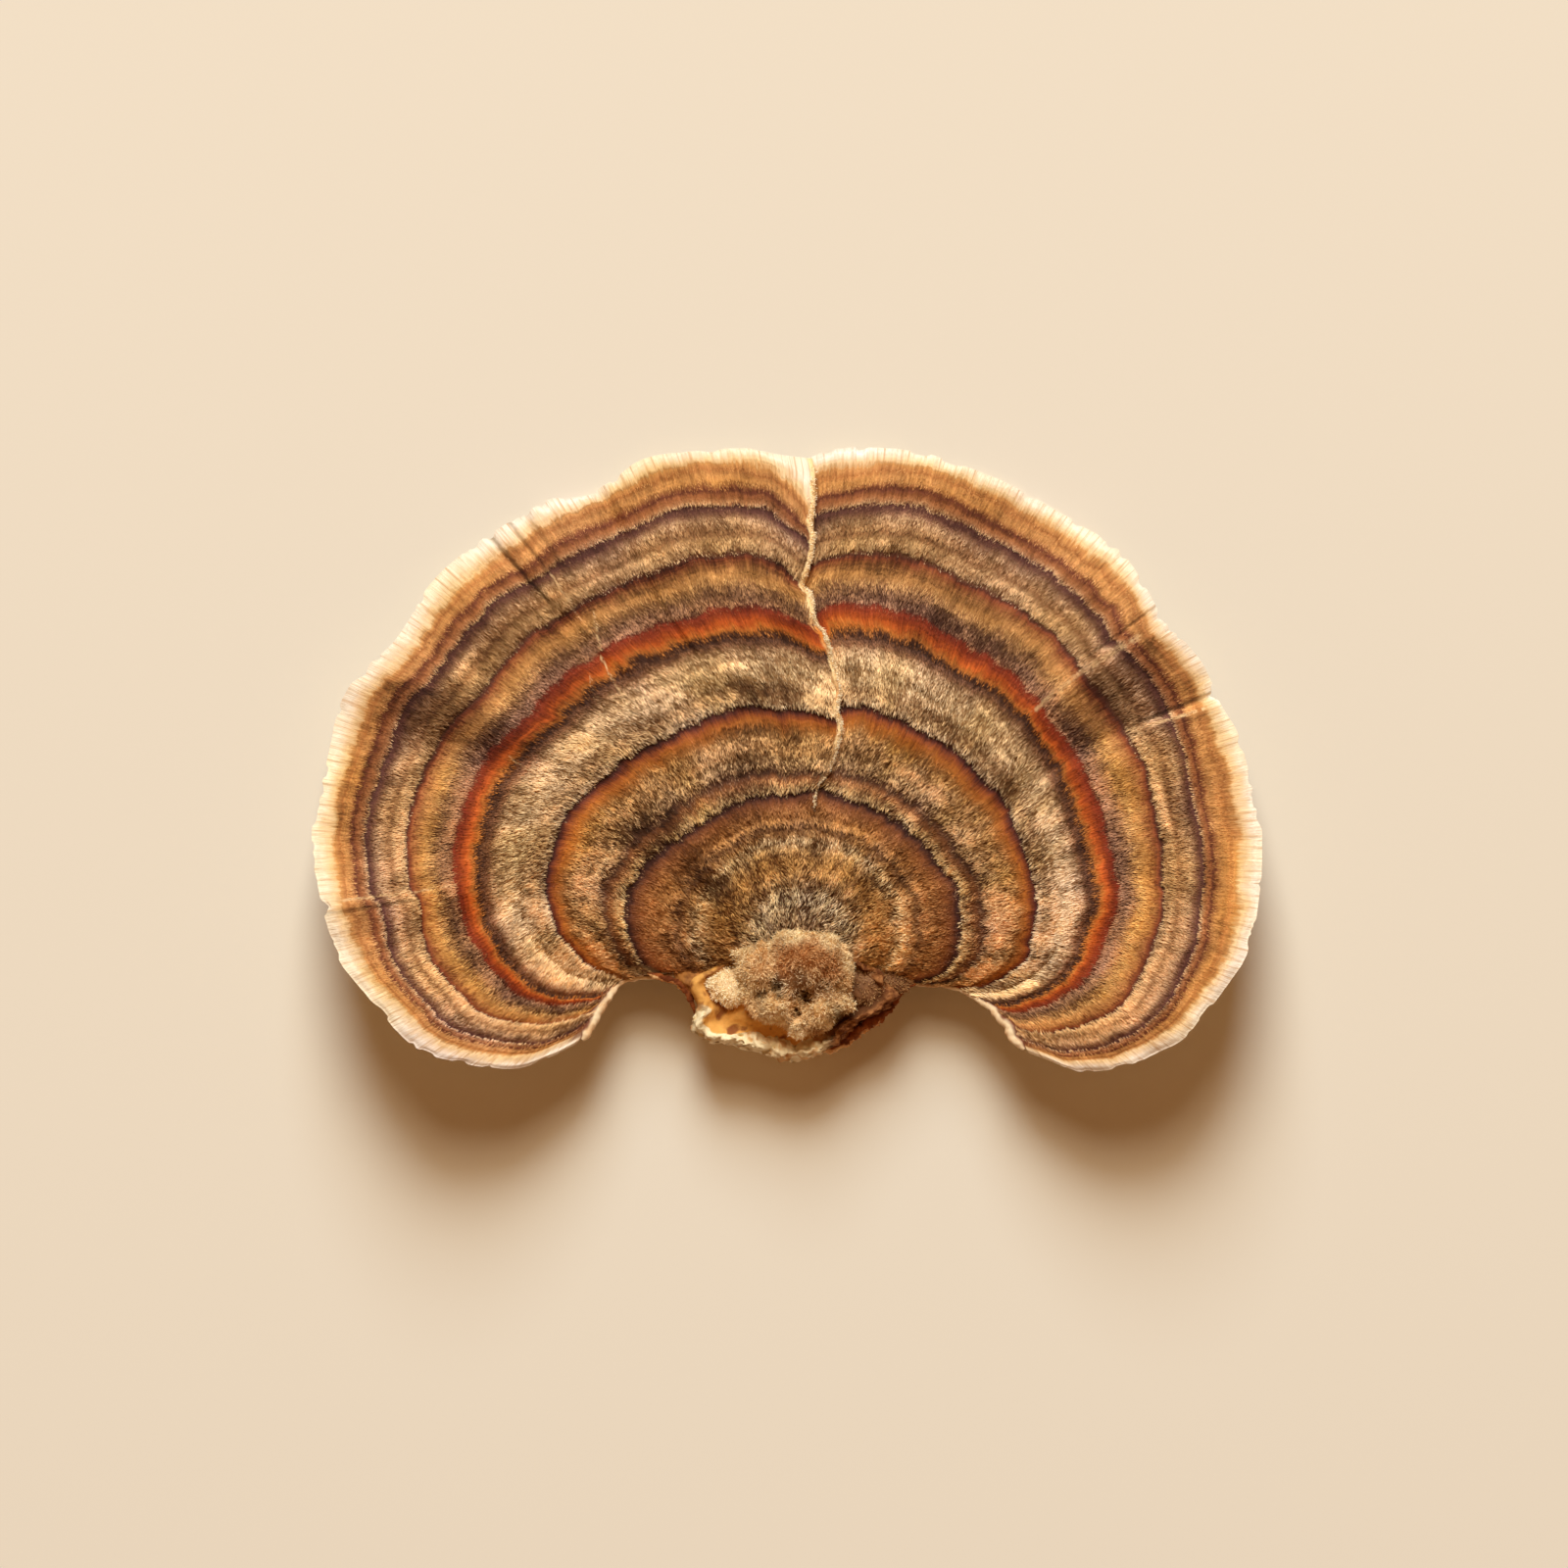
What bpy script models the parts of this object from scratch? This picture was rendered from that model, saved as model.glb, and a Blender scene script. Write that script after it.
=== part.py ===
"""A turkey tail fungus: one dried bracket, cut flat where it grew on its wood.

It lies hymenium down, on the flat cut under its stub and on two low places of its far rim.
Lengths in the tables are millimetres. X runs to the right and Y away from the stub, both from
the growth centre under the knob, and Z is the height above the surface that it lies on.
"""

import math

import bmesh
import bpy
import numpy as np
from mathutils import Vector, noise

MM = 0.001

# Driving dimensions, in millimetres
MARGIN_THICKNESS = 0.62
RIM_EDGE_THICKNESS = 0.26
RIM_EDGE_DROP = 0.16
LEDGE_HEIGHT = 0.26
LEDGE_RIM_FADING = 0.6
RIPPLE_HEIGHT = 0.1
RIPPLE_LENGTH = 3.0
SEAM_LEFT_LIFT = 0.5
SEAM_RIGHT_DROP = 0.25
SEAM_HALF_GAP = 0.09
FLOOR = 0.0
FLOOR_CUT_DEPTH = 6.0
FLOOR_CUT_WIDTH = 90.0

STATIONS_PER_LOBE = 34
CLOSEST_STATIONS = 0.35 / STATIONS_PER_LOBE
CAP_COLOUR = (0.36, 0.21, 0.11, 1.0)

# Growth lines of the left lobe, each from the seam round to the lobe's inner edge. The key is the
# share of the way from the growth centre to the rim, and each point is x, y and the skin's height.
LEFT_LOBE = {
    0.0: [(-0.5, -0.6, 5.0), (-0.8, -1.2, 4.9), (-0.8, -1.9, 4.6)],
    0.12: [(-0.3, 3.8, 6.2), (-1.6, 3.2, 6.2), (-2.7, 2.0, 6.0), (-3.3, 0.6, 5.6), (-3.2, -0.8, 5.0),
           (-2.6, -1.9, 4.5)],
    0.333: [(-0.3, 9.8, 6.8), (-1.8, 9.9, 6.8), (-3.5, 9.6, 6.7), (-5.2, 8.8, 6.7), (-6.8, 7.8, 6.6),
            (-8.2, 6.5, 6.5), (-9.6, 4.9, 6.3), (-10.7, 2.7, 5.9), (-10.5, 0.6, 5.4), (-9.7, -1.2, 4.6),
            (-8.9, -2.0, 4.0)],
    0.49: [(0.3, 15.1, 6.4), (-2.7, 15.3, 6.3), (-5.4, 14.8, 6.2), (-7.9, 13.7, 6.1), (-10.4, 12.3, 6.1),
           (-12.3, 10.4, 6.1), (-14.5, 7.8, 6.1), (-16.0, 4.6, 6.1), (-16.0, 2.4, 6.0), (-15.2, 0.3, 5.6),
           (-13.5, -1.4, 4.8), (-11.3, -2.4, 4.0)],
    0.655: [(0.0, 20.7, 5.3), (-3.7, 21.1, 5.1), (-7.4, 20.3, 4.9), (-10.8, 18.9, 4.7), (-14.1, 16.7, 4.8),
            (-16.7, 14.0, 5.0), (-19.3, 11.0, 5.4), (-20.7, 7.8, 5.8), (-21.4, 5.1, 6.1), (-21.3, 2.2, 6.4),
            (-20.5, 0.1, 6.5), (-19.1, -1.7, 6.4), (-17.7, -3.2, 6.0), (-15.5, -3.9, 5.4), (-13.4, -3.8, 4.8),
            (-12.1, -3.3, 4.4)],
    1.0: [(-1.2, 32.0, 1.7), (-3.5, 32.4, 1.5), (-6.8, 32.2, 1.4), (-10.2, 31.5, 1.1), (-13.2, 29.7, 0.55),
          (-16.5, 28.9, 0.35), (-19.7, 26.9, 0.9), (-23.6, 23.9, 1.7), (-26.2, 19.8, 2.6), (-29.0, 16.9, 3.4),
          (-30.0, 14.4, 3.9), (-31.1, 9.9, 4.9), (-31.6, 6.1, 6.0), (-30.8, 2.2, 7.6), (-29.5, -1.5, 8.8),
          (-27.2, -4.3, 9.2), (-24.8, -6.8, 9.0), (-21.7, -7.9, 8.3), (-18.3, -8.3, 7.2), (-16.0, -7.5, 6.3),
          (-14.2, -6.6, 5.5)],
}

# The same lines of the right lobe
RIGHT_LOBE = {
    0.0: [(0.7, -0.6, 5.0), (1.0, -1.2, 4.9), (1.0, -1.9, 4.6)],
    0.12: [(2.0, 3.5, 6.2), (3.1, 2.6, 6.1), (3.7, 1.3, 5.7), (3.7, -0.2, 5.1), (3.2, -1.5, 4.5)],
    0.333: [(2.7, 9.8, 6.7), (4.2, 9.5, 6.6), (6.6, 8.1, 6.5), (8.8, 5.8, 6.4), (10.4, 2.7, 6.0),
            (10.6, 0.4, 5.4), (9.6, -1.7, 4.5), (8.3, -2.4, 4.0), (7.7, -2.6, 3.8)],
    0.49: [(4.5, 15.6, 6.1), (5.8, 15.1, 6.1), (8.1, 14.1, 6.0), (10.5, 12.3, 6.0), (12.7, 10.0, 6.0),
           (14.3, 6.8, 6.1), (15.5, 4.0, 6.1), (15.7, 1.4, 5.9), (15.0, -1.2, 5.3), (12.8, -2.6, 4.4),
           (10.5, -2.9, 3.9)],
    0.655: [(3.7, 21.2, 5.0), (7.4, 20.4, 4.8), (10.9, 18.8, 4.6), (14.1, 16.7, 4.7), (16.4, 13.7, 4.9),
            (18.2, 10.5, 5.3), (19.6, 7.1, 5.8), (20.4, 4.0, 6.3), (20.5, 2.4, 6.5), (20.0, 0.6, 6.5),
            (18.7, -1.9, 6.4), (16.7, -3.4, 6.0), (14.1, -4.2, 5.3), (12.6, -4.0, 4.8)],
    1.0: [(2.9, 32.3, 1.2), (6.3, 32.4, 1.1), (9.6, 31.9, 0.9), (14.1, 30.0, 0.45), (18.6, 27.5, 0.4),
          (21.3, 25.7, 1.2), (23.1, 23.3, 2.1), (24.3, 21.1, 2.7), (26.6, 18.5, 3.2), (28.0, 15.6, 3.9),
          (29.1, 13.4, 4.4), (29.8, 10.5, 5.0), (30.5, 7.1, 5.9), (30.5, 3.7, 7.1), (29.6, -0.5, 8.7),
          (27.8, -3.4, 9.2), (25.2, -6.3, 9.0), (21.9, -8.0, 8.2), (18.7, -8.4, 7.4), (17.1, -7.9, 6.9),
          (15.3, -7.2, 6.2)],
}

# The seam between the lobes, from the notch in the rim to the growth centre: x and y
SEAM = [(1.0, 31.7), (1.2, 30.7), (1.2, 28.5), (0.9, 27.3), (1.2, 26.6), (1.0, 25.1), (0.4, 23.3),
        (1.0, 22.7), (1.2, 20.9), (1.8, 20.3), (2.2, 19.1), (2.6, 17.3), (2.9, 16.6), (2.6, 15.5),
        (3.0, 14.0), (2.6, 12.7), (2.1, 11.2), (1.3, 10.2), (1.1, 9.3), (0.9, 7.0), (0.8, 3.6), (0.1, -0.4)]
SEAM_REACH = 0.16
SEAM_LIFT_REACH = 0.07
SEAM_LIP = 0.0175

# Where one growth zone ends and the next begins, as shares of the way to the rim, and the outline
# of the low ledge in each: where across the zone, and how much of the full height
ZONE_EDGES = [0.12, 0.2, 0.27, 0.333, 0.41, 0.49, 0.56, 0.629, 0.69, 0.787, 0.88, 0.955]
LEDGE_OUTLINE = [(0.0, 0.0), (0.28, 1.0), (0.75, 0.75), (1.0, 0.0)]
RIM_ROWS = [0.985, 1.0]
UNDERSIDE_ROWS = [0.0, 0.12, 0.27, 0.41, 0.56, 0.7, 0.82, 0.92, 0.985, 1.0]

# Flesh thickness at shares of the way to the rim
THICKNESS = [(0.0, 3.0), (0.12, 2.8), (0.333, 2.3), (0.655, 1.6), (0.9, 0.95), (0.985, MARGIN_THICKNESS),
             (1.0, RIM_EDGE_THICKNESS)]
INNER_EDGE_THINNING = 0.55
INNER_EDGE_REACH = 0.05

# Radial folds: where they lie (0 the left lobe's inner edge, 0.5 the seam, 1 the right lobe's inner
# edge) and how far they lift the skin near the rim
FOLDS = [(0.0, 0.0), (0.05, 0.12), (0.1, 0.0), (0.125, -0.3), (0.152, 0.32), (0.19, 0.05), (0.235, -0.42),
         (0.272, 0.4), (0.31, 0.0), (0.345, -0.12), (0.353, 0.15), (0.4, -0.12), (0.406, 0.16), (0.45, 0.0),
         (0.55, 0.1), (0.62, 0.0), (0.66, 0.12), (0.694, 0.5), (0.742, -0.5), (0.75, 0.18), (0.8, 0.0),
         (0.85, 0.1), (0.9, -0.1), (0.95, 0.1), (1.0, 0.0)]
FOLDS_START = 0.4
FOLDS_FULL = 0.8

# The stub that tied the bracket to its wood: its outline and, ring by ring from the cut up, the
# height and how large the outline is there
STUB_OUTLINE = [(-7.0, -2.6), (-6.3, -4.3), (-6.7, -5.6), (-5.6, -6.4), (-3.2, -6.8), (-0.6, -7.6),
                (1.3, -7.4), (2.6, -6.6), (4.3, -5.3), (6.1, -4.2), (6.6, -3.1), (5.3, -1.5),
                (2.6, 0.0), (0.0, 0.4), (-2.9, 0.0), (-5.4, -1.5)]
STUB_MIDDLE = (-0.2, -3.6)
STUB_RINGS = [(-0.6, 0.84), (0.5, 0.86), (1.7, 0.93), (3.0, 1.0), (4.0, 0.98), (4.6, 0.86), (5.0, 0.6)]
STUB_STATIONS = 44
STUB_RAGGEDNESS = 0.6
STUB_RAG_LENGTH = 0.75

KNOB_MIDDLE = (0.1, -2.4, 5.2)
KNOB_RADII = (3.8, 3.3, 2.9)
# Lumps of the knob: direction, height as a share of its radius, and width
KNOB_LUMPS = [((-1.0, 0.45, 0.25), 0.2, 0.35), ((-0.25, -0.75, 0.6), 0.14, 0.3), ((0.15, -1.0, 0.1), 0.2, 0.3),
              ((0.25, -0.35, 0.95), -0.22, 0.22), ((0.3, 0.75, 0.65), 0.1, 0.4), ((0.9, -0.3, 0.4), 0.08, 0.35)]
# Its roughness: height as a share of its radius, and how many lumps go across it
KNOB_ROUGHNESS = [(0.1, 2.5), (0.05, 6.0)]

# The strip of bark torn off with the stub, on its right: x, y and height
BARK_STRIP = [(1.7, -7.1, 2.0), (3.8, -6.2, 2.3), (5.0, -5.2, 2.5), (6.3, -4.1, 2.9), (6.9, -3.1, 3.4)]
BARK_STRIP_RADIUS = 0.5


def clear_scene():
    for thing in list(bpy.data.objects):
        bpy.data.objects.remove(thing, do_unlink=True)


def new_collection(name):
    collection = bpy.data.collections.new(name)
    bpy.context.scene.collection.children.link(collection)
    return collection


def new_object(name, mesh, collection):
    thing = bpy.data.objects.new(name, mesh)
    collection.objects.link(thing)
    return thing


def smoothstep(low, high, value):
    share = np.clip((value - low) / (high - low), 0.0, 1.0)
    return share * share * (3.0 - 2.0 * share)


def ease_through(knots, value):
    """Reads a table of (place, value), with a level tangent at each of its places."""
    places = np.array([knot[0] for knot in knots])
    heights = np.array([knot[1] for knot in knots])
    index = np.clip(np.searchsorted(places, value) - 1, 0, len(places) - 2)
    share = smoothstep(places[index], places[index + 1], value)
    return heights[index] + (heights[index + 1] - heights[index]) * share


def smooth_curve(points, shares):
    """Points at the given shares of the length of a smooth curve through the points."""
    points = np.array(points, float)
    before = 2.0 * points[0] - points[1]
    after = 2.0 * points[-1] - points[-2]
    padded = np.vstack([before, points, after])
    steps = 10
    traced = []
    for a, b, c, d in zip(padded, padded[1:], padded[2:], padded[3:]):
        for share in np.arange(steps) / steps:
            square = share * share
            cube = square * share
            traced.append(0.5 * (2.0 * b + (c - a) * share + (2.0 * a - 5.0 * b + 4.0 * c - d) * square
                                 + (3.0 * b - a - 3.0 * c + d) * cube))
    traced.append(points[-1])
    traced = np.array(traced)
    lengths = np.linalg.norm(np.diff(traced[:, :2], axis=0), axis=1)
    along = np.concatenate([[0.0], np.cumsum(lengths)])
    wanted = np.asarray(shares) * along[-1]
    return np.stack([np.interp(wanted, along, traced[:, axis]) for axis in range(3)], axis=1)


def blend_lines(levels, lines, rows):
    """Lines at the given rows, by a smooth cubic from one growth line to the next."""
    levels = np.array(levels)
    lines = np.array(lines)
    gaps = np.diff(levels)
    slopes = np.diff(lines, axis=0) / gaps[:, None, None]
    tangents = np.concatenate([slopes[:1], slopes[:-1], slopes[-1:]])
    weight = (gaps[:-1] / (gaps[:-1] + gaps[1:]))[:, None, None]
    tangents[1:-1] = slopes[:-1] * (1.0 - weight) + slopes[1:] * weight
    found = []
    for row in rows:
        index = int(np.clip(np.searchsorted(levels, row) - 1, 0, len(gaps) - 1))
        share = (row - levels[index]) / gaps[index]
        square = share * share
        cube = square * share
        found.append((2.0 * cube - 3.0 * square + 1.0) * lines[index]
                     + (cube - 2.0 * square + share) * gaps[index] * tangents[index]
                     + (3.0 * square - 2.0 * cube) * lines[index + 1]
                     + (cube - square) * gaps[index] * tangents[index + 1])
    return np.array(found)


def seam_at(rows):
    """The seam's x and y where each growth row meets it."""
    seam = np.array(SEAM[::-1])
    reach = np.hypot(seam[:, 0], seam[:, 1])
    reach[0] = 0.0
    share = reach / reach[-1]
    return np.stack([np.interp(rows, share, seam[:, 0]), np.interp(rows, share, seam[:, 1])], axis=1)


def lobe_skin(table, stations, rows, side):
    """The skin of one lobe, rows by stations, with station 0 on the seam."""
    levels = sorted(table)
    lines = []
    for level in levels:
        seam_x, seam_y = seam_at([level])[0]
        start = (seam_x + side * SEAM_HALF_GAP, seam_y, table[level][0][2])
        lines.append(smooth_curve([start] + table[level], stations))
    skin = blend_lines(levels, lines, rows)
    wanted = seam_at(rows) + np.array([side * SEAM_HALF_GAP, 0.0])
    nearness = (1.0 - np.clip(np.asarray(stations) / SEAM_REACH, 0.0, 1.0)) ** 2
    shift = (wanted - skin[:, 0, :2])[:, None, :] * nearness[None, :, None]
    skin[:, :, :2] += shift
    return skin


def lobe_stations(fold_side):
    """Even steps along a lobe, and one at each of its folds, 0 at the seam and 1 at the inner edge."""
    even = np.linspace(0.0, 1.0, STATIONS_PER_LOBE)
    folds = [abs(place - 0.5) * 2.0 for place, _ in FOLDS if (place - 0.5) * fold_side > 0.0]
    kept = [share for share in even[1:-1] if min(abs(share - fold) for fold in folds) > CLOSEST_STATIONS]
    folds = [fold for fold in folds if CLOSEST_STATIONS < fold < 1.0 - CLOSEST_STATIONS]
    return np.array(sorted([0.0, SEAM_LIP] + kept + folds + [1.0]))


def fold_lift(around, rows):
    strength = smoothstep(FOLDS_START, FOLDS_FULL, np.asarray(rows))
    return strength[:, None] * ease_through(FOLDS, around)[None, :]


def ledges(rows):
    """The height of the growth ledges: a low terrace in each zone and a furrow at its edges."""
    edges = np.array([0.0] + ZONE_EDGES + [1.0])
    index = np.clip(np.searchsorted(edges, rows, side="right") - 1, 0, len(edges) - 2)
    share = (np.asarray(rows) - edges[index]) / (edges[index + 1] - edges[index])
    profile = np.interp(share, [place for place, _ in LEDGE_OUTLINE], [height for _, height in LEDGE_OUTLINE])
    fading = 1.0 - LEDGE_RIM_FADING * smoothstep(0.85, 1.0, np.asarray(rows))
    return LEDGE_HEIGHT * fading * profile


def ripple(skin):
    lift = np.zeros(skin.shape[:2])
    for row in range(skin.shape[0]):
        for station in range(skin.shape[1]):
            x, y, _ = skin[row, station]
            lift[row, station] = noise.noise(Vector((x, y, 0.0)) / RIPPLE_LENGTH)
    return RIPPLE_HEIGHT * lift


def seam_step(stations, rows, height):
    strength = smoothstep(0.2, 0.5, np.asarray(rows))
    nearness = 1.0 - smoothstep(0.0, SEAM_LIFT_REACH, np.asarray(stations))
    return height * strength[:, None] * nearness[None, :]


def cap_surface(rows, is_skin):
    """Points of the cap's skin or, if not is_skin, of its pore surface, rows by stations around it."""
    rows = np.asarray(rows)
    left_stations = lobe_stations(-1.0)
    right_stations = lobe_stations(1.0)
    left = lobe_skin(LEFT_LOBE, left_stations, rows, -1.0)
    right = lobe_skin(RIGHT_LOBE, right_stations, rows, 1.0)
    left[:, :, 2] += seam_step(left_stations, rows, SEAM_LEFT_LIFT)
    right[:, :, 2] += seam_step(right_stations, rows, -SEAM_RIGHT_DROP)
    points = np.concatenate([left[:, ::-1], right], axis=1)
    around = np.concatenate([0.5 - 0.5 * left_stations[::-1], 0.5 + 0.5 * right_stations])
    points[:, :, 2] += fold_lift(around, rows)
    inside = smoothstep(0.0, INNER_EDGE_REACH, np.minimum(around, 1.0 - around))
    if is_skin:
        points[:, :, 2] += ledges(rows)[:, None] * inside[None, :] + ripple(points)
        points[rows == 1.0, :, 2] -= RIM_EDGE_DROP
        return points
    thinning = 1.0 - INNER_EDGE_THINNING * (1.0 - inside)
    places = [place for place, _ in THICKNESS]
    depth = np.interp(rows, places, [thickness for _, thickness in THICKNESS])
    points[:, :, 2] -= depth[:, None] * thinning[None, :]
    points[rows == 1.0, :, 2] -= RIM_EDGE_DROP
    return points


def skin_rows():
    """A row at each zone's edge and along both sides of its ledge."""
    rows = [0.0] + RIM_ROWS
    for low, high in zip(ZONE_EDGES, ZONE_EDGES[1:]):
        rows += [low + (high - low) * place for place, _ in LEDGE_OUTLINE[:-1]]
    return sorted(rows + ZONE_EDGES[-1:])


def add_grid(mesh, points, facing_up):
    """Adds a grid of points to the bmesh and returns its vertices, rows by stations."""
    grid = [[mesh.verts.new(Vector(point) * MM) for point in row] for row in points]
    for inner, outer in zip(grid, grid[1:]):
        for station in range(len(inner) - 1):
            corners = [inner[station], outer[station], outer[station + 1], inner[station + 1]]
            mesh.faces.new(corners if facing_up else corners[::-1])
    return grid


def join_rows(mesh, first, second):
    """Closes the wall between two rows of vertices that may differ in number."""
    i = 0
    j = 0
    while i < len(first) - 1 or j < len(second) - 1:
        if j == len(second) - 1 or (i < len(first) - 1 and (i + 1) / len(first) <= (j + 1) / len(second)):
            mesh.faces.new([first[i], first[i + 1], second[j]])
            i += 1
        else:
            mesh.faces.new([first[i], second[j + 1], second[j]])
            j += 1


def make_cap(collection):
    mesh = bmesh.new()
    skin = add_grid(mesh, cap_surface(skin_rows(), True), True)
    pores = add_grid(mesh, cap_surface(UNDERSIDE_ROWS, False), False)
    join_rows(mesh, skin[-1], pores[-1])
    join_rows(mesh, skin[0], pores[0])
    join_rows(mesh, [row[0] for row in skin], [row[0] for row in pores])
    join_rows(mesh, [row[-1] for row in skin], [row[-1] for row in pores])
    bmesh.ops.recalc_face_normals(mesh, faces=mesh.faces)
    bmesh.ops.triangulate(mesh, faces=mesh.faces)
    data = bpy.data.meshes.new("bracket_cap")
    mesh.to_mesh(data)
    mesh.free()
    return new_object("bracket_cap", data, collection)


def ragged_outline(scale, height):
    """The stub's outline at one height, roughened as torn wood fibre is."""
    closed = STUB_OUTLINE + STUB_OUTLINE[:1]
    shares = np.arange(STUB_STATIONS) / STUB_STATIONS
    traced = smooth_curve([(x, y, 0.0) for x, y in closed], shares)
    points = []
    for x, y, _ in traced:
        ragged = STUB_RAGGEDNESS * noise.noise(Vector((x, y, 0.5 * height)) / STUB_RAG_LENGTH)
        away = Vector((x - STUB_MIDDLE[0], y - STUB_MIDDLE[1]))
        reach = away.length * scale + ragged
        away.normalize()
        points.append((STUB_MIDDLE[0] + away.x * reach, STUB_MIDDLE[1] + away.y * reach, height))
    return points


def make_stub(collection):
    mesh = bmesh.new()
    rings = []
    for height, scale in STUB_RINGS:
        rings.append([mesh.verts.new(Vector(point) * MM) for point in ragged_outline(scale, height)])
    for low, high in zip(rings, rings[1:]):
        for index in range(STUB_STATIONS):
            after = (index + 1) % STUB_STATIONS
            mesh.faces.new([low[index], low[after], high[after], high[index]])
    mesh.faces.new(rings[0])
    mesh.faces.new(rings[-1])
    bmesh.ops.recalc_face_normals(mesh, faces=mesh.faces)
    bmesh.ops.triangulate(mesh, faces=mesh.faces)
    data = bpy.data.meshes.new("stub")
    mesh.to_mesh(data)
    mesh.free()
    return new_object("stub", data, collection)


def make_knob(collection):
    """The woolly knob at the growth centre: a rounded lump with smaller lumps grown on it."""
    mesh = bmesh.new()
    bmesh.ops.create_icosphere(mesh, subdivisions=3, radius=1.0)
    for vertex in mesh.verts:
        direction = vertex.co.normalized()
        reach = 1.0
        for height, turns in KNOB_ROUGHNESS:
            reach += height * noise.noise(direction * turns)
        for towards, height, width in KNOB_LUMPS:
            apart = direction.angle(Vector(towards))
            reach += height * math.exp(-(apart / width) ** 2)
        place = [KNOB_MIDDLE[axis] + direction[axis] * reach * KNOB_RADII[axis] for axis in range(3)]
        vertex.co = Vector(place) * MM
    data = bpy.data.meshes.new("knob")
    mesh.to_mesh(data)
    mesh.free()
    return new_object("knob", data, collection)


def make_bark_strip(collection):
    """The strip of bark along the stub's right side, as a thick bent strand."""
    curve = bpy.data.curves.new("bark_strip_line", "CURVE")
    curve.dimensions = "3D"
    curve.bevel_depth = BARK_STRIP_RADIUS * MM
    curve.bevel_resolution = 1
    curve.use_fill_caps = True
    spline = curve.splines.new("POLY")
    spline.points.add(len(BARK_STRIP) - 1)
    for point, place in zip(spline.points, BARK_STRIP):
        point.co = (*(Vector(place) * MM), 1.0)
    line = new_object("bark_strip_line", curve, collection)
    graph = bpy.context.evaluated_depsgraph_get()
    data = bpy.data.meshes.new_from_object(line.evaluated_get(graph))
    data.name = "bark_strip"
    bpy.data.objects.remove(line, do_unlink=True)
    mesh = bmesh.new()
    mesh.from_mesh(data)
    bmesh.ops.remove_doubles(mesh, verts=mesh.verts, dist=0.00001)
    bmesh.ops.recalc_face_normals(mesh, faces=mesh.faces)
    mesh.to_mesh(data)
    mesh.free()
    return new_object("bark_strip", data, collection)


def make_floor_cut(collection):
    """Everything below the surface it lies on, so that the stub's cut and the low rim are flat."""
    mesh = bmesh.new()
    bmesh.ops.create_cube(mesh, size=1.0)
    size = Vector((FLOOR_CUT_WIDTH, FLOOR_CUT_WIDTH, FLOOR_CUT_DEPTH))
    for vertex in mesh.verts:
        vertex.co = Vector([vertex.co[axis] * size[axis] for axis in range(3)]) * MM
        vertex.co.z += (FLOOR - 0.5 * FLOOR_CUT_DEPTH) * MM
    data = bpy.data.meshes.new("floor_cut")
    mesh.to_mesh(data)
    mesh.free()
    return new_object("floor_cut", data, collection)


def combine(cap, other, operation):
    modifier = cap.modifiers.new(f"{operation.lower()} {other.name}", "BOOLEAN")
    modifier.operation = operation
    modifier.solver = "EXACT"
    modifier.object = other
    other.hide_render = True
    other.display_type = "WIRE"


def centre_on_origin(cap, others):
    """Moves everything so that the middle of the outline is over the origin."""
    corners = [cap.matrix_world @ vertex.co for vertex in cap.data.vertices]
    middle_x = 0.5 * (min(c.x for c in corners) + max(c.x for c in corners))
    middle_y = 0.5 * (min(c.y for c in corners) + max(c.y for c in corners))
    for thing in [cap] + others:
        for vertex in thing.data.vertices:
            vertex.co.x -= middle_x
            vertex.co.y -= middle_y


def cap_material():
    material = bpy.data.materials.new("zoned hairy skin")
    material.use_nodes = True
    shader = material.node_tree.nodes["Principled BSDF"]
    shader.inputs["Base Color"].default_value = CAP_COLOUR
    shader.inputs["Roughness"].default_value = 0.85
    shader.inputs["Metallic"].default_value = 0.0
    return material


def main():
    clear_scene()
    fungus = new_collection("turkey_tail_fungus")
    cutters = new_collection("cutters")
    cap = make_cap(fungus)
    grown_on = [make_stub(cutters), make_knob(cutters), make_bark_strip(cutters)]
    floor_cut = make_floor_cut(cutters)
    centre_on_origin(cap, grown_on + [floor_cut])
    for lump in grown_on:
        combine(cap, lump, "UNION")
    combine(cap, floor_cut, "DIFFERENCE")
    cap.data.materials.append(cap_material())
    cap.data.shade_smooth()
    cap.data.set_sharp_from_angle(angle=math.radians(50.0))


main()
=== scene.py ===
# %% [markdown]
# # A turkey tail fungus
#
# This is one dried bracket, picked from its log: a thin fan of two lobes, banded like a tree's
# rings, with velvety hair on some of its bands, a woolly knob where it began to grow and a torn
# stub under the knob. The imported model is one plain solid. Here it gets its looks: a finely
# modelled skin, several hundred thousand hairs and the torn flesh, all inside that solid's box.

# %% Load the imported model
import math

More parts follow.
